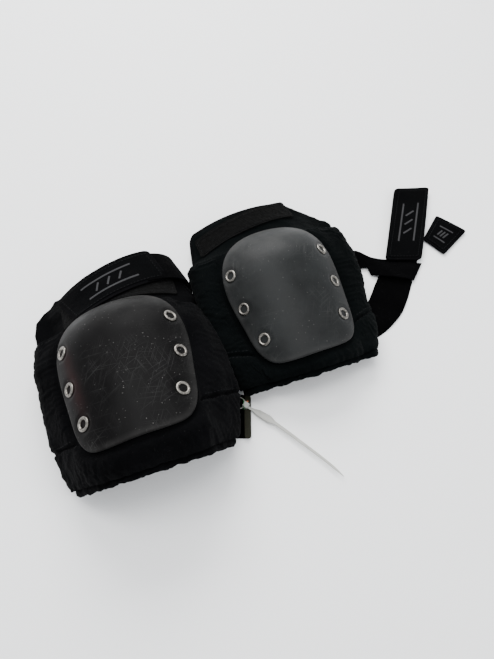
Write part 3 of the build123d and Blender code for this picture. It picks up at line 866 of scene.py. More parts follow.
def build_cover(pad):
    """Padded front of the sleeve: puffs up round the cap, valleys at its seams, soft folds."""
    name = pad["name"]
    rows = 118
    grid = sleeve_grid(pad, COVER_DEPTH, 0, rows)
    cols = grid.shape[1]
    n = normals_of(grid)
    if n[rows // 2, cols // 2, 2] < 0:
        n = -n
    middle = cols // 2
    step = np.linalg.norm(np.diff(grid[:, :, [0, 2]], axis=1), axis=2)
    s = np.concatenate([np.zeros((rows, 1)), np.cumsum(step, axis=1)], axis=1)
    s -= s[:, middle][:, None]
    edge = np.minimum(s - s[:, :1], s[:, -1:] - s)
    y = grid[:, :, 1]
    dist = outline_distance(s.ravel(), y.ravel()).reshape(rows, cols)
    seed = 1.0 if name == "left" else 4.0

    def field(fx, fy, sd, octaves=3):
        return ripples(s, y, fx, fy, sd, octaves, z=sd)

    outside = smooth(dist, -1.0, 7.0)
    seam_y = -51.0 + 0.28 * np.maximum(np.abs(s) - 62.0, 0.0)
    lift = 3.4 * smooth(dist, 0.0, 11.0) * (1 - 0.55 * smooth(-edge, -16, 0))
    folds = field(0.020, 0.040, seed) * 1.5 + field(0.045, 0.020, seed + 2) * 1.6
    small = field(0.09, 0.13, seed + 5, 4) * 0.45
    pull = np.exp(-((y - seam_y) / 13.0) ** 2)
    pucker = field(0.22, 0.035, seed + 7, 2) * 1.1 * np.exp(-((y - seam_y) / 7.0) ** 2)
    top = np.exp(-((y - (COVER_END - 1)) / 9.0) ** 2)
    pucker = pucker + field(0.20, 0.05, seed + 8, 2) * top
    hem_pull = np.exp(-((np.arange(rows)[:, None] * 1.5) / 9.0) ** 2)
    pucker = pucker + field(0.16, 0.03, seed + 9, 2) * 1.6 * hem_pull
    lift = lift + outside * (folds * (0.8 + 0.5 * pull) + small + pucker)
    seam_depth = outside * smooth(edge, 0, 26)
    from_seam = y - seam_y
    lift = lift - seam_depth * (2.2 * np.exp(-(from_seam / 2.0) ** 2) + 1.2 * np.exp(-(from_seam / 6.0) ** 2))
    lift = lift - 1.4 * outside * np.exp(-(edge / 3.0) ** 2)
    toward = s if name == "left" else -s
    beside = smooth(toward, 74, 96) * smooth(edge, 2, 16) * smooth(y, -70, -30) * (1 - smooth(y, 68, 79))
    lift = lift + NEIGHBOUR_BULGE[name] * beside
    close = smooth(y, COVER_END - 4.0, COVER_END)
    lift = lift * (1 - close)
    points = grid + n * lift[:, :, None]
    free = smooth(dist, 1.0, 8.0) * smooth(edge, 1.0, 6.0) * smooth(COVER_END - y, 1.0, 6.0)
    free = free * (1 - np.exp(-((y - seam_y) / 2.5) ** 2)) * smooth(np.arange(rows)[:, None] * 1.5, 1.0, 5.0)
    moved = settle(name, to_row(pad, points), n @ pad["axes"], free)
    points = points + moved * 1000 @ pad["axes"].T
    obj = solid_sheet(f"{name}_cover_cloth", to_row(pad, points), 0.0014)
    check_outward(obj, pad)
    finish_piece(obj, f"cover_{name}", f"{name}_pad",
                 [f"{name}_{node}" for node in ("front_cover", "knee_foam", "left_wing_foam", "right_wing_foam")])
    pad["cover_surface"] = dict(points=points, n=n, y=y, dist=dist, seam_y=seam_y)


def check_outward(obj, pad):
    """Turns a sheet's faces over if they look inward, so its thickness goes the right way."""
    mesh = obj.data
    centre = Vector(to_row(pad, [(0.0, 0.0, -60.0)])[0])
    total = sum((Vector(f.center) - centre).dot(f.normal) * f.area for f in mesh.polygons)
    if total < 0:
        mesh.flip_normals()


def build_seams(pad):
    """Double rows of stitches along the sleeve's cross seam, its long lower seams and its thigh end."""
    name = pad["name"]
    k = pad["cover_surface"]
    pts, n = k["points"], k["n"]
    rows, cols = pts.shape[:2]
    runs = []
    for shift in (-3.2, 3.2):
        for part in (range(0, cols // 2 - 20), range(cols // 2 + 20, cols)):
            line, norms = [], []
            for j in part:
                want = k["seam_y"][rows // 2, j] + shift
                col = k["y"][:, j]
                if want < col[0] + 2:
                    continue
                i = np.interp(want, col, np.arange(rows))
                i0 = min(int(i), rows - 2)
                f = i - i0
                if np.interp(want, col, k["dist"][:, j]) < 5.0:
                    continue
                line.append(pts[i0, j] * (1 - f) + pts[i0 + 1, j] * f)
                norms.append(n[i0, j])
            if len(line) > 4:
                runs.append((np.array(line), np.array(norms)))
    for j in (4, cols - 5):
        runs.append((pts[4:-4, j], n[4:-4, j]))
    for part in (slice(4, 44), slice(cols - 44, cols - 4)):
        runs.append((pts[rows - 6, part], n[rows - 6, part]))
    stitch_object(f"{name}_cover_stitches", runs, lambda p: to_row(pad, p), f"{name}_pad", "cover_nylon")


def build_inside(pad):
    """Back panel under the sleeve and the lining seen through its open ends."""
    name = pad["name"]
    rows = 70
    back = sleeve_grid(pad, COVER_DEPTH, 1, rows)
    n = normals_of(back)
    wave = fbm(back.reshape(-1, 3), 0.03, 9.0).reshape(rows, -1) * 0.7
    outward = n if n[rows // 2, back.shape[1] // 2, 2] < 0 else -n
    points = back + outward * (wave - 0.3)[:, :, None]
    obj = solid_sheet(f"{name}_back_cloth", to_row(pad, points), 0.0028)
    check_outward(obj, pad)
    finish_piece(obj, "back", f"{name}_pad", [f"{name}_back_panel"])

    rows = 80
    t = np.linspace(0, 1, rows)
    deep = sleeve_grid(pad, LINING_DEPTH, 0, rows, end=COVER_END - 1.5)
    near = sleeve_grid(pad, COVER_DEPTH + 1.6, 0, rows, end=COVER_END - 1.5)
    rows_mm = t * 165
    flare = np.maximum(1 - smooth(rows_mm, 0.0, 10.0), smooth(rows_mm, 153.0, 163.0)) ** 1.6
    cols = deep.shape[1]
    side = np.minimum(np.arange(cols), cols - 1 - np.arange(cols)) * 1.3
    flare = np.maximum(flare[:, None], (1 - smooth(side, 0.0, 9.0))[None, :] * 0.8)
    wave = fbm(deep.reshape(-1, 3), 0.035, 5.0).reshape(rows, cols) * 1.2
    points = deep + (near - deep) * flare[:, :, None]
    n = normals_of(points)
    points = points + n * (wave * (1 - flare))[:, :, None]
    obj = solid_sheet(f"{name}_lining_cloth", to_row(pad, points), 0.0012)
    check_outward(obj, pad)
    finish_piece(obj, "lining", f"{name}_pad", [f"{name}_lining"])


def build_hem(pad):
    """Soft wrinkled roll round the slanted shin opening."""
    name = pad["name"]
    ring = []
    for which in (0, 1):
        g = sleeve_grid(pad, COVER_DEPTH + 2.4, which, 60, past=-2.6)
        ring.append(g[0] if which == 0 else g[0][1:-1])
    centre = np.concatenate(ring)
    loop = np.vstack([centre, centre[:1]])
    t = chord(loop)
    count = 420
    at = np.linspace(0, t[-1], count, endpoint=False)
    centre = sample(loop, t, at)
    for _ in range(3):
        centre = (np.roll(centre, 1, 0) + centre * 2 + np.roll(centre, -1, 0)) / 4
    along = unit(np.roll(centre, -1, 0) - np.roll(centre, 1, 0))
    cut = np.array([0, 1, pad["shin_lean"]]) / sqrt(1 + pad["shin_lean"] ** 2)
    ahead = pad["axes"] @ cut
    outward = unit(np.cross(along, ahead))
    if np.mean(np.sum(outward * (centre - centre.mean(0)), axis=1)) < 0:
        outward = -outward
    sides = 18
    verts = []
    seed = 2.0 if name == "left" else 6.0
    for k in range(sides):
        a = 2 * pi * k / sides
        places = [centre[:, 0] * 0.13 + 3 * cos(a), centre[:, 2] * 0.13 + sin(a), centre[:, 1] * 0.05]
        ripple = fbm(np.stack(places, 1), 1.0, seed, 4)
        places = [at * 0.11, np.full(count, 0.6 * cos(a)), np.full(count, 0.6 * sin(a))]
        gather = fbm(np.stack(places, 1), 1.0, seed + 3, 2)
        r_out = 2.7 + 0.8 * ripple + 0.9 * gather
        r_along = 4.6 + 1.1 * ripple + 1.2 * gather
        verts.append(centre + outward * (r_out * sin(a))[:, None] - ahead * (r_along * cos(a))[:, None])
    verts = np.array(verts)
    floor = 0.5
    flat = verts.reshape(-1, 3)
    row = pad["at"] + flat @ pad["axes"]
    row[:, 2] = np.where(row[:, 2] < floor, floor, row[:, 2])
    faces = grid_faces(sides, count, wrap=True)
    for j in range(count):
        k = (j + 1) % count
        faces.append([(sides - 1) * count + j, (sides - 1) * count + k, k, j])
    uv = np.stack([np.tile(at, sides), np.repeat(np.arange(sides) * 1.6, count)], axis=1) / 1000
    obj = add_object(f"{name}_hem_cloth", ground(row), faces, uv)
    check_outward(obj, pad)
    finish_piece(obj, f"cover_{name}", f"{name}_pad", [f"{name}_shin_hem"])


# ---- thigh flap ----
def flap_point(x, y, lift):
    """Pad-frame point on the flap: x across its arch, y along the pad, lift outward from its face."""
    crown, radius = (np.interp(y, [r[0] for r in FLAP], [r[k] for r in FLAP]) for k in (1, 2))
    knee = np.minimum(np.abs(x), FLANK_START)
    a = np.arcsin(knee / radius)
    side = np.sign(x)
    px = side * (knee + np.maximum(np.abs(x) - FLANK_START, 0))
    pz = -crown - radius + radius * np.cos(a) - np.maximum(np.abs(x) - FLANK_START, 0) * np.tan(a)
    return np.stack([px + side * lift * np.sin(a), y + 0 * px, pz + lift * np.cos(a)], axis=-1)


FLANK_START = 58.0
FLAP_TOP = 128.5
FLAP_START = 79.0
# left and right edges of the flap at shares of its length, and its thigh end's station along x
FLAP_EDGES = {
    "left": [(0.0, -94, 90), (0.2, -102, 88), (0.5, -103, 84), (0.72, -98, 79), (0.88, -88, 74),
             (1.0, -70, 66)],
    "right": [(0.0, -86, 108), (0.25, -84, 111), (0.5, -82, 111), (0.72, -80, 107), (0.88, -78, 98),
              (1.0, -72, 84)],
}
FLAP_ENDS = {
    "left": [(-100, 146), (-72, 145), (-40, 133), (0, 128.5), (100, 128.5)],
    "right": [(-100, 128.5), (40, 128.5), (62, 121), (85, 115), (110, 113)],
}


def flap_grid(pad, rows, cols):
    """Flap coordinates of the flap's whole face."""
    v = np.linspace(0, 1, rows)
    edges = np.array(FLAP_EDGES[pad["name"]], float)
    lo, hi = np.interp(v, edges[:, 0], edges[:, 1]), np.interp(v, edges[:, 0], edges[:, 2])
    u = (np.linspace(-1, 1, cols) + 1) / 2
    x = lo[:, None] + (hi - lo)[:, None] * u[None, :]
    ends = np.array(FLAP_ENDS[pad["name"]], float)
    top = np.interp(x[-1], ends[:, 0], ends[:, 1])
    relax(top, 6)
    y = FLAP_START + (top[None, :] - FLAP_START) * v[:, None]
    return x, y


def on_ground(pad, points, height):
    """Lifts pad-frame points that would be under the ground."""
    shape = points.shape
    row = pad["at"] + points.reshape(-1, 3) @ pad["axes"]
    low = row[:, 2] < height + 3.0
    row[low, 2] = height + 3.0 * np.exp((row[low, 2] - height - 3.0) / 3.0)
    return ((row - pad["at"]) @ pad["axes"].T).reshape(shape)


def build_flap(pad):
    """Padded thigh flap: rippled face, lining, taped edge."""
    name = pad["name"]
    body = "left_pad" if name == "left" else "right_flap_root"
    rows, cols = 60, 130
    seed = 11.0 if name == "left" else 14.0
    x, y = flap_grid(pad, rows, cols)
    across = np.minimum(x - x[:, :1], x[:, -1:] - x)
    to_edge = np.minimum(across, y[-1:, :] - y)
    edge = smooth(to_edge, 0.0, 9.0)
    wave = ripples(x, y, 0.03, 0.055, seed)
    fine = ripples(x, y, 0.10, 0.16, seed + 1)
    gather = ripples(x, y, 0.16, 0.03, seed + 2, 2)
    root = 1 - smooth(y, FLAP_START, FLAP_START + 9)
    lift = (-2.2 + 2.4 * edge + wave * 1.1 * edge + fine * 0.35 + gather * (1 - edge) * 0.8
            - root * 1.5 + gather * root)
    thick = station_thick(y)
    low = -thick + 2.2 * (1 - edge) + wave * 0.5 + root
    top = flap_point(x, y, lift)
    bottom = flap_point(x, y, low)
    front = loop_at(pad, COVER_END, COVER_DEPTH + 1.0)[0]
    share = np.linspace(0, len(front) - 1, cols)
    root_x, root_z = (np.interp(share, np.arange(len(front)), part) for part in (front.real, front.imag))
    sewn = np.stack([root_x, np.full(cols, COVER_END - 0.5), root_z], axis=1)
    take = smooth(y, FLAP_START, FLAP_START + 15.0)[:, :, None]
    out = np.array([0.0, 0.0, 1.0])
    top = sewn[None] * (1 - take) + top * take + out * (gather * root * 0.8)[:, :, None]
    bottom = (sewn - out * 4.0)[None] * (1 - take) + bottom * take
    top, bottom = on_ground(pad, top, 2.2), on_ground(pad, bottom, 0.4)
    verts = np.concatenate([top.reshape(-1, 3), bottom.reshape(-1, 3)])
    faces = grid_faces(rows, cols) + grid_faces(rows, cols, start=rows * cols, flip=True)
    size = rows * cols
    rim = [j for j in range(cols)] + [i * cols + cols - 1 for i in range(1, rows)]
    rim += [(rows - 1) * cols + j for j in range(cols - 2, -1, -1)]
    rim += [i * cols for i in range(rows - 2, 0, -1)]
    for a, b in zip(rim, rim[1:] + rim[:1]):
        faces.append([b, a, a + size, b + size])
    uv = np.tile(grid_uv(to_row(pad, top.reshape(-1, 3)), rows, cols), (2, 1))
    obj = add_object(f"{name}_flap_pad", to_row(pad, verts), faces, uv)
    check_outward(obj, pad)
    finish_piece(obj, f"cover_{name}", body,
                 [f"{name}_flap_cover", f"{name}_flap_foam", f"{name}_flap_lining"])

    # edge tape: a folded ribbon along the two sides and the thigh end
    keep = slice(10, None)
    line = np.vstack([np.stack([x[keep, 0], y[keep, 0]], 1), np.stack([x[-1, 1:-1], y[-1, 1:-1]], 1),
                      np.stack([x[keep, -1], y[keep, -1]], 1)[::-1]])
    t = chord(line)
    line = relax(sample(line, t, np.linspace(0, t[-1], 210)), 8)
    centre = np.array([flap_point(p[0], p[1], -0.5 * station_thick(p[1]) - 0.6) for p in line])
    inner = np.array([flap_point(*inset_point(pad, p, 4.6), 0.0) for p in line])
    up = np.array([flap_point(p[0], p[1], 1.0) - flap_point(p[0], p[1], 0.0) for p in line])
    toward = unit(inner - np.array([flap_point(p[0], p[1], 0.0) for p in line]))
    half = np.array([0.5 * station_thick(p[1]) - 1.0 for p in line])
    upper = [(4.8, 1.05), (2.6, 1.10), (0.6, 0.98), (-0.7, 0.62)]
    profile = upper + [(-1.1, 0.0)] + [(a, -b) for a, b in upper[::-1]]
    ripple = ripples(np.arange(len(line)), np.zeros(len(line)), 0.16, 0.0, seed + 4)
    grid = np.array([centre + toward * (a + 0.3 * ripple)[:, None] + up * (b * half + 0.35 * ripple)[:, None]
                     for a, b in profile])
    grid = on_ground(pad, grid, 0.6)
    tape = solid_sheet(f"{name}_edge_tape", to_row(pad, grid), 0.0009)
    check_outward(tape, pad)
    finish_piece(tape, "binding", body, [f"{name}_flap_binding"])
    seam = grid[1] + up * 0.12
    stitch_object(f"{name}_tape_stitches", [(seam, up)], lambda p: to_row(pad, p), body, "binding_tape",
                  radius=0.28)


def station_thick(y):
    """The flap's thickness at station y."""
    return np.interp(y, [r[0] for r in FLAP], [r[3] for r in FLAP])


def inset_point(pad, p, by):
    """Flap coordinates moved inward from the edge."""
    middle = np.array([0.5 * (pad["flap"][0] + pad["flap"][1]), FLAP_TOP - 26.0])
    q = np.array([p[0], p[1]])
    near = np.array([np.clip(q[0], middle[0] - 50, middle[0] + 50), min(q[1], middle[1])])
    d = near - q
    d = d / max(np.linalg.norm(d), 1e-6)
    return q[0] + d[0] * by, q[1] + d[1] * by


def on_flap(corners, lift, rows, cols, radius):
    """Grid on the flap between four flap-coordinate corners (left low, right low, right top, left top)."""
    c = np.array(corners, float)
    width = np.linalg.norm(c[1] - c[0])
    height = np.linalg.norm(c[3] - c[0])
    out = np.empty((rows, cols, 3))
    xy = np.empty((rows, cols, 2))
    for i, b in enumerate(np.linspace(0, 1, rows)):
        cut = corner_cut(min(b, 1 - b) * height, radius, width)
        for j, a in enumerate(np.linspace(0, 1, cols)):
            xy[i, j] = in_quad(c, cut + a * (1 - 2 * cut), b)
            out[i, j] = flap_point(*xy[i, j], lift)
    return out, xy


def inset_corners(corners, by):
    """A patch's corners moved inward along both of their sides."""
    c = np.array(corners, float)
    out = []
    for k in range(4):
        a, b, d = c[k], c[(k + 1) % 4], c[k - 1]
        e1 = (b - a) / np.linalg.norm(b - a)
        e2 = (d - a) / np.linalg.norm(d - a)
        out.append(a + (e1 + e2) * by)
    return np.array(out)


def quad_outline(corners, by, count=260):
    """Closed line just inside a four-cornered patch."""
    c = inset_corners(corners, by)
    loop = np.vstack([c, c[:1]])
    t = chord(loop)
    return sample(loop, t, np.linspace(0, t[-1], count))


STRIP = {
    "left": [(-60, 95), (66, 95), (66, 124), (-60, 124)],
    "right": [(-69, 93), (54, 108), (44, 128), (-71, 117)],
}
TAB_CORNERS = [(-40, 88), (62, 114.6), (49, 157.6), (-60, 131)]


def build_strip(pad):
    """Wide loop tape sewn on the flap."""
    name = pad["name"]
    body = "left_pad" if name == "left" else "right_flap"
    corners = STRIP[name]
    grid, _ = on_flap(corners, 2.1, 24, 100, radius=2.0)
    rows, cols = grid.shape[:2]
    bumps = fbm(grid.reshape(-1, 3), 0.35, 21.0, 4).reshape(rows, cols)
    n = normals_of(grid)
    n = n if n[rows // 2, cols // 2, 2] > 0 else -n
    grid = grid + n * (bumps * 0.5)[:, :, None]
    obj = solid_sheet(f"{name}_loop_tape", to_row(pad, grid), 0.0022)
    check_outward(obj, pad)
    finish_piece(obj, "pile", body, [f"{name}_loop_strip"])
    line = quad_outline(corners, 3.0)
    pts = np.array([flap_point(p[0], p[1], 2.35) for p in line])
    up = np.array([flap_point(p[0], p[1], 3.35) for p in line]) - pts
    stitch_object(f"{name}_strip_stitches", [(pts, up)], lambda p: to_row(pad, p), body, "loop_tape",
                  radius=0.36)


# ---- straps ----
def lie_flat(obj):
    """Turns a sheet's faces over if they look down."""
    if np.mean([f.normal.z for f in obj.data.polygons]) < 0:
        obj.data.flip_normals()


def build_straight_strap(name, start, end, across, thick, body, nodes, seed, ripple):
    """Webbing lying straight on the ground between two millimetre points."""
    length = np.linalg.norm(np.subtract(end, start))
    rows, cols = int(length / 1.6) + 2, 30
    at = np.linspace(0, length, rows)
    centre = start + np.subtract(end, start) * (at / length)[:, None]
    along = np.subtract(end, start) / length
    across = unit(np.array(across, float))
    across = unit(across - along * (across @ along))
    up = np.cross(along, across)
    up = up if up[2] > 0 else -up
    k = np.linspace(-1, 1, cols)
    grid = centre[:, None, :] + across * (k * STRAP_W / 2)[None, :, None]
    place_at, place_k = np.meshgrid(at, k, indexing="ij")
    grid = grid + up * (ripples(place_at, place_k, 0.045, 1.1, seed) * ripple)[:, :, None]
    obj = solid_sheet(name, ground(grid), thick / 1000)
    lie_flat(obj)
    finish_piece(obj, "elastic", body, nodes)


def patch(name, corners, height, thick, material, body, nodes=(), radius=5.0, bend=None, rows=60,
          cols=44):
    """Four-cornered flat piece lying on the ground, as seen from above, with rounded corners."""
    c = np.array(corners, float)
    width = (np.linalg.norm(c[1] - c[0]) + np.linalg.norm(c[2] - c[3])) / 2
    tall = (np.linalg.norm(c[3] - c[0]) + np.linalg.norm(c[2] - c[1])) / 2
    grid = np.empty((rows, cols, 3))
    for i, b in enumerate(np.linspace(0, 1, rows)):
        cut = corner_cut(min(b, 1 - b) * tall, radius, width)
        for j, a in enumerate(np.linspace(0, 1, cols)):
            share = cut + a * (1 - 2 * cut)
            grid[i, j] = *in_quad(c, share, b), height + (bend(share, b) if bend else 0.0)
    obj = solid_sheet(name, ground(grid), thick / 1000)
    lie_flat(obj)
    finish_piece(obj, material, body, nodes)


def ground_stitches(name, corners, height, by, body, bend):
    """Stitches just inside the edge of a patch that lies on the ground."""
    c = np.array(corners, float)
    pts = np.array([(*p, height + bend(*quad_coords(c, p))) for p in quad_outline(corners, by)])
    up = np.tile([0.0, 0.0, 1.0], (len(pts), 1))
    stitch_object(name, [(pts, up)], ground, body, "label_print", radius=0.3)


def quad_coords(c, p):
    """Shares across and along a four-cornered patch at a point in its plane."""
    a = b = 0.5
    for _ in range(12):
        q = in_quad(c, a, b)
        da = (c[1] - c[0]) * (1 - b) + (c[2] - c[3]) * b
        db = (c[3] - c[0]) * (1 - a) + (c[2] - c[1]) * a
        m = np.stack([da, db], 1)
        step = np.linalg.solve(m, np.asarray(p[:2]) - q)
        a, b = a + step[0], b + step[1]
    return a, b


def edge_ribbon(name, edge_a, edge_b, thick, body, seed, nodes=(), ripple=0.4):
    """Webbing lying between two edge lines of millimetre points, with soft ripples."""
    rows, cols = 70, 30
    sides = []
    for line in (edge_a, edge_b):
        line = np.array(line, float)
        sides.append(relax(sample(line, np.linspace(0, 1, len(line)), np.linspace(0, 1, rows)), 14))
    k = np.linspace(0, 1, cols)[None, :, None]
    grid = sides[0][:, None, :] * (1 - k) + sides[1][:, None, :] * k
    n = normals_of(grid)
    n = n if n[:, :, 2].mean() > 0 else -n
    bump = fbm(grid.reshape(-1, 3) * (1, 1, 0), 0.045, seed, 3).reshape(rows, cols)
    obj = solid_sheet(name, ground(grid + n * (bump * ripple)[:, :, None]), thick / 1000)
    lie_flat(obj)
    finish_piece(obj, "elastic", body, nodes)


MARK_WIDTH = 0.0022          # of a printed bar, metres
MARK_LIFT = 0.10              # of a bar's middle, in lengths of the given normal


def mark_lines():
    """Plain generic sign: a frame of two long bars and three slanted ones between them."""
    lines = [[(0.22, 0.26), (0.78, 0.26)], [(0.22, 0.74), (0.78, 0.74)]]
    lines += [[(x, 0.38), (x + 0.07, 0.62)] for x in (0.33, 0.46, 0.59)]
    return lines


def add_mark(name, surface, body, turned=False):
    """Printed grey sign; surface turns shares (a, b) into a shared-frame point and its normal."""
    lines = [[(b, a) for a, b in line] for line in mark_lines()] if turned else mark_lines()
    count = 24
    verts, faces, uvs = [], [], []
    for line in lines:
        line = np.array(line, float)
        t = chord(line)
        at = np.linspace(0, t[-1], count)
        spots = [surface(a, b) for a, b in sample(line, t, at)]
        pts, up = (np.array([spot[k] for spot in spots], float) for k in (0, 1))
        side = unit(np.cross(up, np.gradient(pts, axis=0)))
        start = len(verts)
        for k, lift in ((-1, 0.0), (-0.92, MARK_LIFT), (0.92, MARK_LIFT), (1, 0.0)):
            verts += list(pts + side * k * MARK_WIDTH / 2 + up * lift)
            uvs += list(np.stack([at * 0.05, np.full(count, k * MARK_WIDTH / 2000)], 1))
        faces += grid_faces(4, count, start=start)
    finish_piece(add_object(name, verts, faces, np.array(uvs)), "print", body)


# middle of the left upper strap on the flap: across, along and outward, pad-frame millimetres
LEFT_UPPER = [(36, 131, 2.6), (54, 134, 2.8), (66, 135, 2.4), (77, 134, -1.0), (84, 130, -9.0),
              (86, 125, -20.0)]
LEFT_UPPER_ACROSS = np.array([-0.24, 0.97, 0])
LEFT_UPPER_HALF = 21.0
WEBBING_T = 1.9
TAB_LIFT, TAB_T, LABEL_T = 4.7, 0.0020, 0.0006    # tab's height over the flap in millimetres; metres
LEFT_TIP = [(2, -97.5), (8.5, -99.5), (24, -55), (17.5, -52.5)]


def build_left_upper_strap(pad):
    """Webbing that comes from under the pad, over the flap's corner and under the tab."""
    edges = []
    for side in (-1, 1):
        line = [flap_point(*map(float, p)) + LEFT_UPPER_ACROSS * LEFT_UPPER_HALF * side for p in LEFT_UPPER]
        line = [pad["at"] + q @ pad["axes"] for q in line]
        x, y, z = line[-1]
        line += [(x + 1, y, max(z - 14, 8.0)), (x - 6, y, 1.4), (x - 60, y, 1.2), (-150, y, 1.2)]
        edges.append(line)
    edge_ribbon("left_upper_elastic", *edges, WEBBING_T, "left_pad", 3.0, ["left_upper_strap"])


def build_left_tab(pad):
    """Tab fastened over the loop tape, with its label, stitches and sign."""
    c = np.array(TAB_CORNERS, float)
    inner = inset_corners(c, 4.0)
    grid, xy = on_flap(c, TAB_LIFT, 34, 84, radius=5.0)
    n = normals_of(grid)
    n = n if n[17, 42, 2] > 0 else -n
    bumps = ripples(xy[:, :, 0], xy[:, :, 1], 0.03, 0.05, 31.0)
    ends = np.linspace(-1, 1, grid.shape[1])[None, :] ** 2
    grid = grid + n * (bumps * 0.5 + 0.6 * ends)[:, :, None]
    tab = solid_sheet("left_upper_tab_cloth", to_row(pad, grid), TAB_T)
    check_outward(tab, pad)
    finish_piece(tab, "tab", "left_strap_end", ["left_upper_tab"])

    def surface(p, lift):
        a, b = quad_coords(c, p)
        i, j = np.clip(b, 0, 1) * (grid.shape[0] - 1), np.clip(a, 0, 1) * (grid.shape[1] - 1)
        i0, j0 = min(int(i), grid.shape[0] - 2), min(int(j), grid.shape[1] - 2)
        fi, fj = i - i0, j - j0
        q = ((grid[i0, j0] * (1 - fj) + grid[i0, j0 + 1] * fj) * (1 - fi)
             + (grid[i0 + 1, j0] * (1 - fj) + grid[i0 + 1, j0 + 1] * fj) * fi)
        return q + n[i0, j0] * lift, n[i0, j0]

    def on_label(a, b):
        q, up = surface(in_quad(inner, a, b), 0.62)
        return to_row(pad, [q])[0], (up @ pad["axes"]) / 1000

    face = np.array([[surface(in_quad(inner, a, b), 0.55)[0] for a in np.linspace(0, 1, 76)]
                     for b in np.linspace(0, 1, 26)])
    label = solid_sheet("left_label", to_row(pad, face), LABEL_T)
    check_outward(label, pad)
    finish_piece(label, "label", "left_strap_end", ["left_upper_label"])
    line = quad_outline(c, 5.6)
    pts = np.array([surface(p, 0.62)[0] for p in line])
    up = np.array([surface(p, 0.0)[1] for p in line])
    stitch_object("left_label_stitches", [(pts, up)], lambda q: to_row(pad, q), "left_strap_end",
                  "label_print", radius=0.3)
    add_mark("left_label_mark", on_label, "left_strap_end")


def build_left_lower_strap():
    """Webbing under the pad, with an olive strip along its cut end."""
    build_straight_strap("left_lower_elastic", (-150, -17, 1.3), (13, -75, 1.3), (0.335, 0.942, 0), WEBBING_T,
                         "left_pad", ["left_lower_strap"], seed=8.0, ripple=0.45)
    patch("left_strap_tip", LEFT_TIP, 3.0, 0.7, "olive_tip", "left_pad", radius=2.5, rows=40,
          cols=10, bend=lambda a, b: 0.25 * sin(9 * b))


RIGHT_TAB = [(248, 63), (293, 49), (366, 158), (316, 168)]
RIGHT_LABEL = [(252.5, 65), (291.5, 53), (362, 155.5), (319, 163.5)]
LOW_TAB = [(314, 80), (328, 49.5), (377.5, 75), (352, 111)]


# both edges of each piece of the right straps' webbing, ground millimetres
RIGHT_UPPER = ([(140, 62, 1.2), (196, 64, 2), (212, 62, 4), (226, 60, 4), (246, 54, 2.8), (258, 51, 2.6)],
               [(140, 98, 1.2), (200, 96, 3), (218, 86, 9), (232, 73, 5), (250, 65, 3.0), (262, 60, 2.8)])
RIGHT_FOLD = ([(221, 49, 3), (232, 42, 6.5), (246, 35, 8.5), (262, 28, 7), (270, 25, 3)],
              [(222, 70, 5), (234, 66, 4.6), (256, 58.5, 3.4), (280, 51, 3.2), (293, 46, 3)])
RIGHT_LOWER = ([(140, 20, 1.2), (182, 14, 1.2), (200, 14, 1.6), (210, 24, 2.2), (221, 36, 2.0),
                (238, 52, 1.4), (254, 68, 1.3)],
               [(140, -34, 1.2), (186, -34, 1.2), (206, -28, 1.6), (232, -14, 2.0), (252, 6, 1.8),
                (270, 27, 1.4), (292, 54, 1.3)])
RIGHT_TAB_Z, LOW_TAB_Z = 6.4, 2.7


def tab_bend(a, b):
    """Height of the large tab's soft waves and its curled free corner."""
    rise = min(b / 0.2, 1.0)
    curl = 1.6 * max(b - 0.82, 0) / 0.18 * (1 - a)
    return rise * (sin(2.2 * b + 0.8 * a) + 0.7 * (2 * a - 1) ** 2) + curl


def label_bend(a, b):
    """The tab's waves at shares of its label."""
    return tab_bend(0.06 + 0.88 * a, 0.04 + 0.93 * b)


def low_bend(a, b):
    return 0.5 * sin(3 * a) + 0.8 * (2 * b - 1) ** 2


def lying_surface(corners, z, bend):
    """Surface of a patch that lies on the ground, for add_mark."""
    c = np.array(corners, float)
    return lambda a, b: (ground([*in_quad(c, a, b), z + bend(a, b)]), (0, 0, 0.001))


def build_right_straps():
    edge_ribbon("right_upper_elastic", *RIGHT_UPPER, WEBBING_T, "right_pad", 12.0, ["right_upper_strap"],
                ripple=0.7)
    edge_ribbon("right_elastic_fold", *RIGHT_FOLD, 1.8, "right_pad", 13.0, ripple=0.9)
    edge_ribbon("right_lower_elastic", *RIGHT_LOWER, WEBBING_T, "right_pad", 15.0, ["right_lower_strap"],
                ripple=1.0)
    end = "right_upper_strap_end"
    patch("right_tab_cloth", RIGHT_TAB, RIGHT_TAB_Z, 2.0, "tab", end, ["right_upper_tab"],
          bend=tab_bend)
    patch("right_label", RIGHT_LABEL, RIGHT_TAB_Z + 0.55, 0.6, "label", end,
          ["right_upper_label"], bend=label_bend, radius=4.0)
    ground_stitches("right_label_stitches", RIGHT_LABEL, RIGHT_TAB_Z + 0.6, 2.0, end, label_bend)
    add_mark("right_label_mark", lying_surface(RIGHT_LABEL, RIGHT_TAB_Z + 0.6, label_bend), end, turned=True)
    end = "right_lower_strap_end"
    patch("right_low_tab_cloth", LOW_TAB, LOW_TAB_Z, 2.0, "tab", end, ["right_lower_tab"],
          bend=low_bend, radius=2.5)
    inner = inset_corners(LOW_TAB, 3.2)
    patch("right_low_label", inner, LOW_TAB_Z + 0.5, 0.6, "label", end, ["right_lower_label"],
          bend=low_bend, radius=2.0)
    ground_stitches("right_low_stitches", LOW_TAB, LOW_TAB_Z + 0.6, 5.2, end, low_bend)
    add_mark("right_low_mark", lying_surface(inner, LOW_TAB_Z + 0.58, low_bend), end)


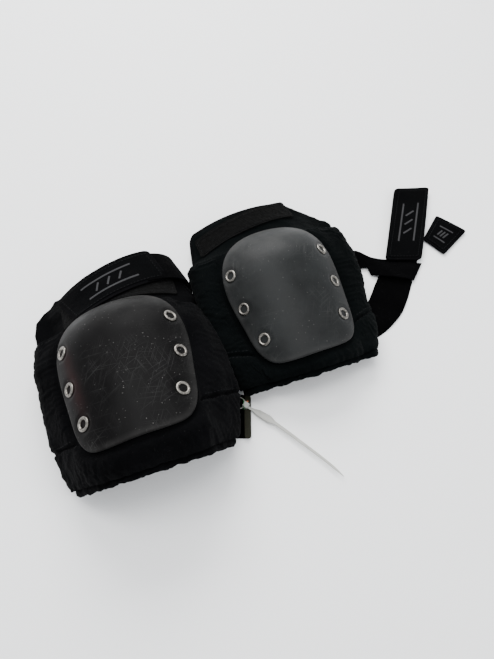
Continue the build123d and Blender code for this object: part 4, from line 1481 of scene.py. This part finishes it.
# ---- nylon tie that holds the pair together ----
TIE_TAIL = [(16.5, -66.5), (28, -80), (55, -119), (71, -144), (83, -166)]
TIE_RING, TIE_RING_R = (9.3, -59.0), 6.2
TIE_TURN = radians(-55)
GRIP_SHARES = (0.125, 0.15, 0.175, 0.20)    # ribs on the grip plate, as shares of the tail
TAG_THREAD = [(14.6, -56.0, 5.2), (13.6, -60.5, 7.0), (12.4, -64.5, 7.0), (11.6, -68.0, 4.6)]


def tube(name, path, radii, closed=False, sides=10):
    """Tube with an oval section along ground millimetre points; radii are across and upward."""
    path = np.array(path, float)
    m = len(path)
    along = unit((np.roll(path, -1, 0) - np.roll(path, 1, 0)) if closed else np.gradient(path, axis=0))
    a = unit(np.cross(along, (0, 0, 1.0)))
    b = np.cross(along, a)
    radii = np.broadcast_to(np.array(radii, float), (m, 2))
    verts = [path + a * (radii[:, :1] * cos(t)) + b * (radii[:, 1:] * sin(t))
             for t in (2 * pi * k / sides for k in range(sides))]
    verts = np.array(verts).transpose(1, 0, 2).reshape(-1, 3)
    faces = grid_faces(m, sides, wrap=True)
    if closed:
        last = (m - 1) * sides
        faces += [[last + k, last + (k + 1) % sides, (k + 1) % sides, k] for k in range(sides)]
    else:
        faces += [list(range(sides))[::-1], [(m - 1) * sides + k for k in range(sides)]]
    return add_object(name, ground(verts), faces)


def block(name, centre, size, turn, bevel):
    """Box with rounded edges, turned about the vertical, ground millimetres."""
    x, y, z = (v / 2 for v in size)
    c, s = cos(turn), sin(turn)
    corners = [(i * x, j * y, k * z) for i in (-1, 1) for j in (-1, 1) for k in (-1, 1)]
    verts = [ground(np.array([p[0] * c - p[1] * s, p[0] * s + p[1] * c, p[2]]) + centre) for p in corners]
    faces = [(0, 1, 3, 2), (4, 6, 7, 5), (0, 4, 5, 1), (2, 3, 7, 6), (0, 2, 6, 4), (1, 5, 7, 3)]
    obj = add_object(name, verts, faces, smooth_shade=False)
    mod = obj.modifiers.new("edge", "BEVEL")
    mod.width = bevel / 1000
    mod.segments = 3
    return obj


def build_tie():
    """Closed ring with its head, tapered tail with a ribbed grip plate, and scraps of a tag."""
    t = np.linspace(0, 2 * pi, 40, endpoint=False)
    x, y = TIE_RING
    ring = np.stack([x + TIE_RING_R * np.cos(t), y + TIE_RING_R * np.sin(t), 3.0 + 0.3 * np.sin(2 * t)], 1)
    loop = tube("tie_ring", ring, (0.4, 0.7), closed=True)
    head = block("tie_head", (15, -64, 4.4), (5.6, 5.8, 4.2), TIE_TURN, 0.6)
    lip = block("tie_head_lip", (16.4, -65.9, 4.6), (1.4, 4.6, 2.6), TIE_TURN, 0.4)
    loop = join("tie_ring", [loop, head, lip])
    finish_piece(loop, "tie", "left_pad", ["tie_loop"])
    count = 90
    pts = spline_through(TIE_TAIL, (0.65, -0.76), (0.42, -0.9), count)
    s = np.linspace(0, 1, count)
    z = 3.6 + 0.9 * np.sin(pi * s) * (1 - s)
    wide = np.interp(s, [0, 0.05, 0.11, 0.22, 0.27, 0.9, 1.0], [1.5, 1.6, 3.6, 3.9, 1.9, 1.35, 0.3])
    tall = np.interp(s, [0, 0.1, 0.25, 0.9, 1.0], [0.75, 0.95, 0.95, 0.6, 0.3])
    tail = tube("tie_tail_strip", np.column_stack([pts, z]), np.column_stack([wide, tall]), sides=14)
    finish_piece(tail, "tie", "tie_tail", ["tie_tail"])
    for i, (x, y) in enumerate(sample(pts, s, GRIP_SHARES)):
        rib = block(f"tie_grip_{i}", (x, y, 4.7), (0.9, 6.6, 0.9), radians(-53.6), 0.3)
        finish_piece(rib, "tie", "tie_tail")
    fleck = block("tag_fleck", (17.5, -61.5, 6.6), (1.6, 1.2, 0.8), 0.4, 0.2)
    finish_piece(fleck, "tag_orange", "left_pad")
    thread = tube("tag_thread", TAG_THREAD, (0.22, 0.22))
    finish_piece(thread, "tag_green", "left_pad")


for pad in PADS.values():
    build_cap(pad)
    build_eyelets(pad)
    build_cover(pad)
    build_seams(pad)
    build_inside(pad)
    build_hem(pad)
    build_flap(pad)
    build_strip(pad)
build_left_upper_strap(PADS["left"])
build_left_tab(PADS["left"])
build_left_lower_strap()
build_right_straps()
build_tie()

# ---- floor, light and camera ----
bpy.ops.mesh.primitive_plane_add(size=6, location=(0, 0, -0.0004))
floor = bpy.context.object
floor.name = "floor"
paper = Nodes("paper")
tint = paper.mix(paper.noise(paper.object_place(), 3.0), rgb(0.935, 0.935, 0.93), rgb(0.955, 0.955, 0.95))
paper.put(paper.bsdf.inputs["Base Color"], tint)
paper.bsdf.inputs["Roughness"].default_value = 0.85
floor.data.materials.append(paper.mat)

world = bpy.data.worlds.new("world")
bpy.context.scene.world = world
world.use_nodes = True
world.node_tree.nodes["Background"].inputs[0].default_value = (0.93, 0.96, 1.0, 1.0)
world.node_tree.nodes["Background"].inputs[1].default_value = 1.15


def softbox(name, place, target, size, power, colour=(1, 1, 1)):
    lamp = bpy.data.lights.new(name, "AREA")
    lamp.shape = "RECTANGLE"
    lamp.size, lamp.size_y = size
    lamp.energy = power
    lamp.color = colour
    obj = bpy.data.objects.new(name, lamp)
    bpy.context.collection.objects.link(obj)
    obj.location = place
    obj.rotation_euler = (Vector(target) - Vector(place)).to_track_quat("-Z", "Y").to_euler()


softbox("window", (0.15, 1.5, 1.3), (0, 0, 0.05), (1.6, 0.8), 56)
softbox("overhead", (-0.35, 0.3, 1.6), (0, 0, 0.05), (0.5, 1.4), 20)
softbox("fill", (1.2, -0.9, 1.1), (0, 0, 0.05), (1.0, 1.0), 8)

lens = bpy.data.cameras.new("camera")
lens.lens = 27.31
lens.sensor_width = 36.0
lens.clip_start = 0.01
camera = bpy.data.objects.new("camera", lens)
bpy.context.collection.objects.link(camera)
ahead = Vector((0.2064, 0.4477, -0.870)).normalized()
above = Vector((0.2691, 0.8289, 0.490))
right = ahead.cross(above).normalized()
above = right.cross(ahead)
stand = (-0.1703, -0.2362, 0.5051)
rows = [(right[i], above[i], -ahead[i], stand[i]) for i in range(3)]
camera.matrix_world = Matrix(rows + [(0, 0, 0, 1)])
bpy.context.scene.camera = camera
